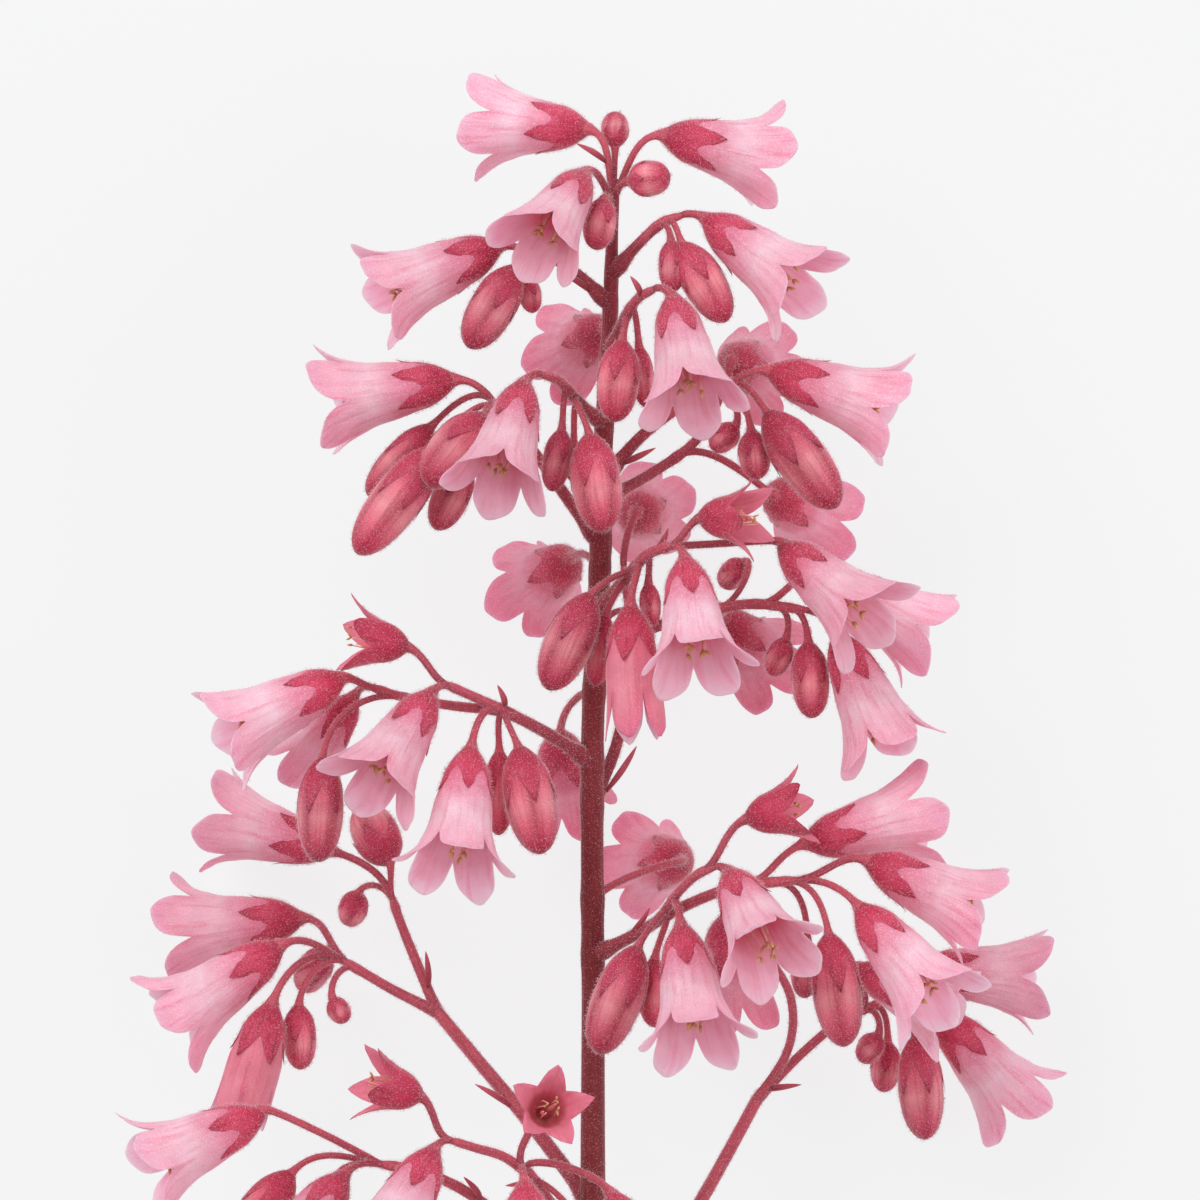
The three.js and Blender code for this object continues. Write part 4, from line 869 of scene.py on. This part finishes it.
threads, sacs = [], []
for bloom in blooms:
    if bloom["kind"] not in ("bell", "cup"):
        continue
    draw = np.random.default_rng(500 + bloom["number"])
    size, axis = bloom["size"], bloom["axis"]
    side = unit(np.cross(axis, (0.2, 0.1, 1.0)))
    other = np.cross(axis, side)
    reach = 0.79 * bloom["length"] if bloom["kind"] == "bell" else 0.62 * bloom["length"]
    deep = 3.3 * size if bloom["kind"] == "bell" else 2.0 * size
    for k in range(5):
        a = 2 * np.pi * (k + draw.uniform(-0.25, 0.25)) / 5 + bloom["number"]
        out = np.cos(a) * side + np.sin(a) * other
        top = bloom["foot"] + axis * (reach + draw.uniform(-0.7, 0.7)) + out * draw.uniform(0.5, 1.4) * size
        low = bloom["foot"] + axis * deep + out * 1.5 * size
        middle = (low + top) / 2 + out * draw.uniform(-0.1, 0.5)
        threads.append(tube(smooth([low, middle, top], 7), 0.1 * size, 5, draw.random()))
        if bloom["kind"] == "cup" and k % 2:
            continue
        across = unit(np.cross(axis, out) + 0.5 * draw.normal(size=3))
        for turn in (-1, 1):
            way = unit(0.75 * axis + 0.65 * turn * across + 0.15 * draw.normal(size=3))
            sacs.append(bean(top + 0.4 * size * way, way, 0.5 * size, 0.17 * size, draw.random()))
    for turn in (-1, 1):
        low = bloom["foot"] + axis * deep + side * turn * 0.35
        top = bloom["foot"] + axis * (reach - 1.2 * size) + side * turn * 0.75
        style = smooth([low, (low + top) / 2 + side * turn * 0.1, top], 8)
        threads.append(tube(style, np.linspace(0.26, 0.08, 8), 7, 0.4))
make_piece("stamen_threads", threads, [FILAMENT])
make_piece("anthers", sacs, [ANTHER])

# ---------------- buds
# A closed bud: the petals, rolled up in the shape of a small date, fine-streaked and deeper rose towards
# their tip, in a cup of five pointed sepals whose points end in a dark hook.
BUD_SKIN = plant_skin(
    "bud_petals",
    ramp=[
        (0.0, (184, 50, 80)), (0.26, (208, 58, 94)), (0.42, (228, 110, 132)), (0.58, (238, 150, 160)),
        (0.72, (224, 108, 130)), (0.87, (198, 52, 88)), (1.0, (166, 32, 66)),
    ],
    side=((176, 38, 72), 0.3, 1.0, 0.75),
    streak=((168, 32, 64), 0.45, 5.0), speckle=((248, 180, 188), 0.42),
    bump=(0.09, 0.04), rough=0.52, soft=(0.35, 0.5),
    fuzz=((255, 232, 236), 0.75),
)
BUD_CUP_SKIN = plant_skin(
    "bud_calyx",
    ramp=[
        (0.0, (168, 46, 74)), (0.2, (188, 42, 76)), (0.5, (202, 52, 88)), (0.8, (200, 62, 94)),
        (0.93, (172, 44, 74)), (1.0, (108, 22, 40)),
    ],
    side=((230, 114, 134), 0.35, 1.0, 0.55),
    streak=((168, 32, 64), 0.4, 5.0), speckle=((246, 176, 184), 0.42),
    bump=(0.09, 0.04), rough=0.6, soft=(0.3, 0.5),
    fuzz=((255, 232, 236), 0.75),
)
BUD_HALF = [
    (0.3, -0.35), (0.8, 0.05), (1.45, 0.85), (2.0, 1.9), (2.36, 3.1), (2.5, 4.5),
    (2.46, 6.0), (2.2, 7.5), (1.7, 8.75), (1.0, 9.6), (0.3, 9.97),
]
BUD_CUP = {
    "half": [
        (0.3, -0.45), (0.88, 0.0), (1.54, 0.8), (2.08, 1.8),
        (2.42, 2.9), (2.56, 3.9), (2.58, 4.6), (2.56, 5.4),
    ],
    "throat": 2.2,
    "cap": (1.0, 0.95, 0.9),
    "columns": 10,
    "rows": 14,
    "lift": 0.08,
    "hug": 0.1,
}


def barrel(half, bloom, size, columns=30, rows=22):
    """The half section carried round the bloom's axis, with five soft furrows, which deepen towards the
    tip: radius (1 - d exp(-(w/0.25)^2)), d growing to 0.07 and w from 0 in a furrow to 1 half way on."""
    line = smooth(half, rows)
    a = np.linspace(0, 2 * np.pi, columns, endpoint=False)
    w = 1 - np.abs(((a * 5 / (2 * np.pi)) % 1) - 0.5) * 2
    t = np.linspace(0, 1, rows)[:, None]
    deep = 0.07 * np.clip((t - 0.25) / 0.5, 0, 1)
    radius = line[:, :1] * (1 - deep * np.exp(-((w / 0.25) ** 2)))
    swirl = a + 0.25 * t
    rings = np.stack([radius * np.cos(swirl), radius * np.sin(swirl), line[:, 1:] + 0 * swirl], -1)
    growth = np.stack([t + 0 * swirl, 1 - w + 0 * swirl, 0 * swirl + bloom["tint"]], -1)
    grain = np.stack([np.cos(swirl), np.sin(swirl), 0.3 * t + 0 * swirl], -1) + bloom["number"]
    shape = skin(rings, growth, grain, (0, 0, line[0, 1]), (0, 0, line[-1, 1] + 0.03))
    return placed(shape, bloom, size)


for spray in stalks:
    buds, cups = [], []
    for bloom in of_kind(spray, "bud"):
        size = np.array([bloom["width"] / 5, bloom["width"] / 5, bloom["length"] / 10])
        buds.append(barrel(BUD_HALF, bloom, size))
        cups.append(five_lobed(BUD_CUP, bloom, size))
    if buds:
        downy += [(spray, shape, *DOWN["bud"]) for shape in buds]
        make_piece("buds_" + spray, buds, [BUD_SKIN])
        make_piece("bud_cups_" + spray, cups, [BUD_CUP_SKIN], wall=0.06)

# ---------------- half-open blooms
# A bell just before it opens: a rose barrel whose five pointed petals have only begun to part.
OPENING = plant_skin(
    "opening_petals",
    ramp=[(0.0, (226, 92, 124)), (0.4, (238, 136, 156)), (0.7, (240, 146, 164)), (1.0, (226, 110, 142))],
    side=((214, 84, 116), 0.55, 1.0, 0.6),
    streak=((216, 84, 116), 0.5, 3.6), speckle=((252, 200, 206), 0.35),
    bump=(0.06, 0.02), rough=0.5, soft=(0.45, 0.6),
    fuzz=((255, 230, 236), 0.25),
)
half_open = []
for bloom in blooms:
    if bloom["kind"] == "tight":
        size = bloom["size"]
        long = bloom["length"] / size
        form = {
            "half": [
                (0.3, 2.55), (1.4, 2.58), (2.0, 2.75), (2.24, 3.6),
                (2.42, 4.6), (2.72, 6.0), (2.76, 0.66 * long),
            ],
            "cap": (1.7, 0.6, 1.0),
            "columns": 12,
            "rows": 30,
        }
        arc = {"length": 0.34 * long, "flat": 0.4, "spread": 0.2}
        flares = -0.02 + 0.16 * lobe_waves(bloom)
        half_open.append(five_lobed(form, bloom, size, arc, flares, wildness(bloom, 0.4)))
make_piece("half_open_bells", half_open, [OPENING, PETAL_INSIDE], wall=PETAL_WALL)

# ---------------- spent cups
# What is left when a bell has dropped: the calyx cup, its five sepals spread and bent back, paler inside.
SPENT = {
    "half": [(0.3, -0.25), (0.9, 0.1), (1.6, 0.95), (2.02, 1.9), (2.24, 2.9), (2.62, 3.9)],
    "cap": (1.2, 0.88, 1.0),
    "columns": 10,
    "rows": 22,
}
# Paler than the outside, as the cup's inner face is, and lifted paler still than its own colour: painted
# light against the shade in the cup's hollow.
SPENT_INSIDE = plant_skin(
    "calyx_inside",
    ramp=[(0.0, (204, 150, 112)), (0.22, (226, 116, 130)), (0.5, (246, 140, 164)), (1.0, (236, 128, 152))],
    side=((214, 84, 110), 0.7, 1.0, 0.5),
    streak=((206, 78, 104), 0.4, 5.0), speckle=((248, 176, 186), 0.3),
    bump=(0.06, 0.04), rough=0.6, soft=(0.3, 0.5),
    fuzz=((255, 225, 232), 0.2),
)
SPENT_LONG = 8.5  # mm: a spent cup that is this long in the tables has the size of the section above
SPENT_ARC = {"length": 3.1, "flat": 0.4, "spread": 0.12}
SPENT_FLARE = 0.9  # radians
for spray in stalks:
    spent = []
    for bloom in of_kind(spray, "cup"):
        flares = SPENT_FLARE + FLARE_SPREAD * lobe_waves(bloom)
        size = bloom["length"] / SPENT_LONG
        spent.append(five_lobed(SPENT, bloom, size, SPENT_ARC, flares, wildness(bloom, 0.35)))
    if spent:
        downy += [(spray, cup, *DOWN["spent"]) for cup in spent]
        make_piece("spent_cups_" + spray, spent, [CUP_SKIN, SPENT_INSIDE], wall=0.2)

# ---------------- down
# Short glandular hairs stand all over the stalks, cups and buds and sparsely on the bells: a pale thread
# with a swollen head, a tenth to a third of a millimetre long.
HAIR = plant_skin(
    "hair",
    ramp=[(0.0, (222, 134, 152)), (1.0, (252, 212, 222))],
    side=((250, 220, 226), 0.5, 1.0, 0.0),
    streak=((240, 190, 200), 0.2, 3.0), speckle=((255, 240, 244), 0.2),
    bump=(0.0, 0.0), rough=0.6, soft=(0.3, 0.3),
    fuzz=((255, 240, 244), 0.2),
)
HAIR_R = 0.022  # the swollen head's radius, in mm
HAIR_SUNK = 0.04  # how deep a hair's root stands in the skin, in mm
HAIR_LEAN = 0.35  # how far hairs lean about the normal, as a share of their length


def down(shape, per_area, length, draw):
    """Hairs on a shape, spread evenly by area: each is a three-sided club from a point of the skin to
    length along the normal, leaning a little, widest at its tip."""
    corner = shape["points"][shape["quads"]]
    wide, tall = corner[:, 2] - corner[:, 0], corner[:, 3] - corner[:, 1]
    normal = np.cross(wide, tall) / 2
    area = np.linalg.norm(normal, axis=1)
    count = int(per_area * area.sum())
    pick = draw.choice(len(area), count, p=area / area.sum())
    u, v = draw.random((2, count, 1))
    a, b, c, d = (corner[pick, k] for k in range(4))
    root = a * (1 - u) * (1 - v) + b * u * (1 - v) + c * u * v + d * (1 - u) * v
    way = unit(unit(normal[pick]) + HAIR_LEAN * draw.normal(size=(count, 3)))
    side = unit(np.cross(way, (0.3, 0.5, 0.8)))
    other = np.cross(way, side)
    tall = length * draw.uniform(0.6, 1.25, (count, 1))
    a = 2 * np.pi * np.arange(3)[None, :, None] / 3
    head = (root + tall * way)[:, None] + HAIR_R * (np.cos(a) * side[:, None] + np.sin(a) * other[:, None])
    points = np.concatenate([(root - HAIR_SUNK * way)[:, None], head], 1)
    base = 4 * np.arange(count)[:, None, None]
    tris = base + np.array([[0, 2, 1], [0, 3, 2], [0, 1, 3], [1, 2, 3]])
    along = np.broadcast_to([[0.0], [1.0], [1.0], [1.0]], (count, 4, 1))
    growth = np.concatenate([along, 0 * along, 0 * along + 0.5], 2).reshape(-1, 3)
    return {
        "points": points.reshape(-1, 3),
        "quads": np.zeros((0, 4), int),
        "tris": tris.reshape(-1, 3),
        "growth": growth,
        "grain": growth * 0.5,
    }


draw = np.random.default_rng(7)
for spray in stalks:
    hairs = [down(shape, dense, length, draw) for owner, shape, dense, length in downy if owner == spray]
    make_piece("down_" + spray, hairs, [HAIR])

# ---------------- floor, camera and light
# A plain pale floor, a camera straight above the stem, and wide soft lights.
floor_mesh = bpy.data.meshes.new("floor")
floor_mesh.from_pydata([(-4, -4, 0), (4, -4, 0), (4, 4, 0), (-4, 4, 0)], [], [(0, 1, 2, 3)])
floor = bpy.data.objects.new("floor", floor_mesh)
bpy.context.scene.collection.objects.link(floor)
paper = bpy.data.materials.new("pale_floor")
paper.use_nodes = True
settings = {
    "Base Color": (0.12, 0.12, 0.12, 1),
    "Roughness": 0.9,
    "Specular IOR Level": 0.1,
    "Emission Color": (0.985, 0.99, 1.0, 1),  # the sheet is lit a little from below
    "Emission Strength": 0.805,
}
for key, value in settings.items():
    paper.node_tree.nodes["Principled BSDF"].inputs[key].default_value = value
floor_mesh.materials.append(paper)

FIELD = 120  # mm across the picture, at the stem's axis
DISTANCE = 1200  # mm from the stem's axis to the camera
lens = bpy.data.cameras.new("camera")
lens.sensor_width = 36
lens.lens = 36 * DISTANCE / FIELD
camera = bpy.data.objects.new("camera", lens)
camera.location = (MIDDLE + (0, 0, DISTANCE)) * MM
bpy.context.scene.collection.objects.link(camera)
bpy.context.scene.camera = camera


def soft_light(name, place, size, power):
    """A square light of that size in metres, aimed at the middle of the stem."""
    lamp = bpy.data.lights.new(name, "AREA")
    lamp.size, lamp.energy = size, power
    made = bpy.data.objects.new(name, lamp)
    way = np.array(place) - (0, 0, 0.03)
    x, y, z = way / np.linalg.norm(way)
    made.location = place
    made.rotation_euler = (np.arccos(z), 0, np.arctan2(x, -y) if abs(x) + abs(y) > 1e-6 else 0)
    bpy.context.scene.collection.objects.link(made)


soft_light("upper_left_light", (-0.55, 0.75, 1.0), 0.9, 9.0)
soft_light("right_light", (0.9, 0.1, 0.8), 0.9, 4.0)
world = bpy.data.worlds.new("studio")
world.use_nodes = True
world.node_tree.nodes["Background"].inputs["Color"].default_value = (1.0, 0.985, 0.98, 1.0)
world.node_tree.nodes["Background"].inputs["Strength"].default_value = 0.55
bpy.context.scene.world = world
bpy.context.scene.view_settings.view_transform = "Standard"
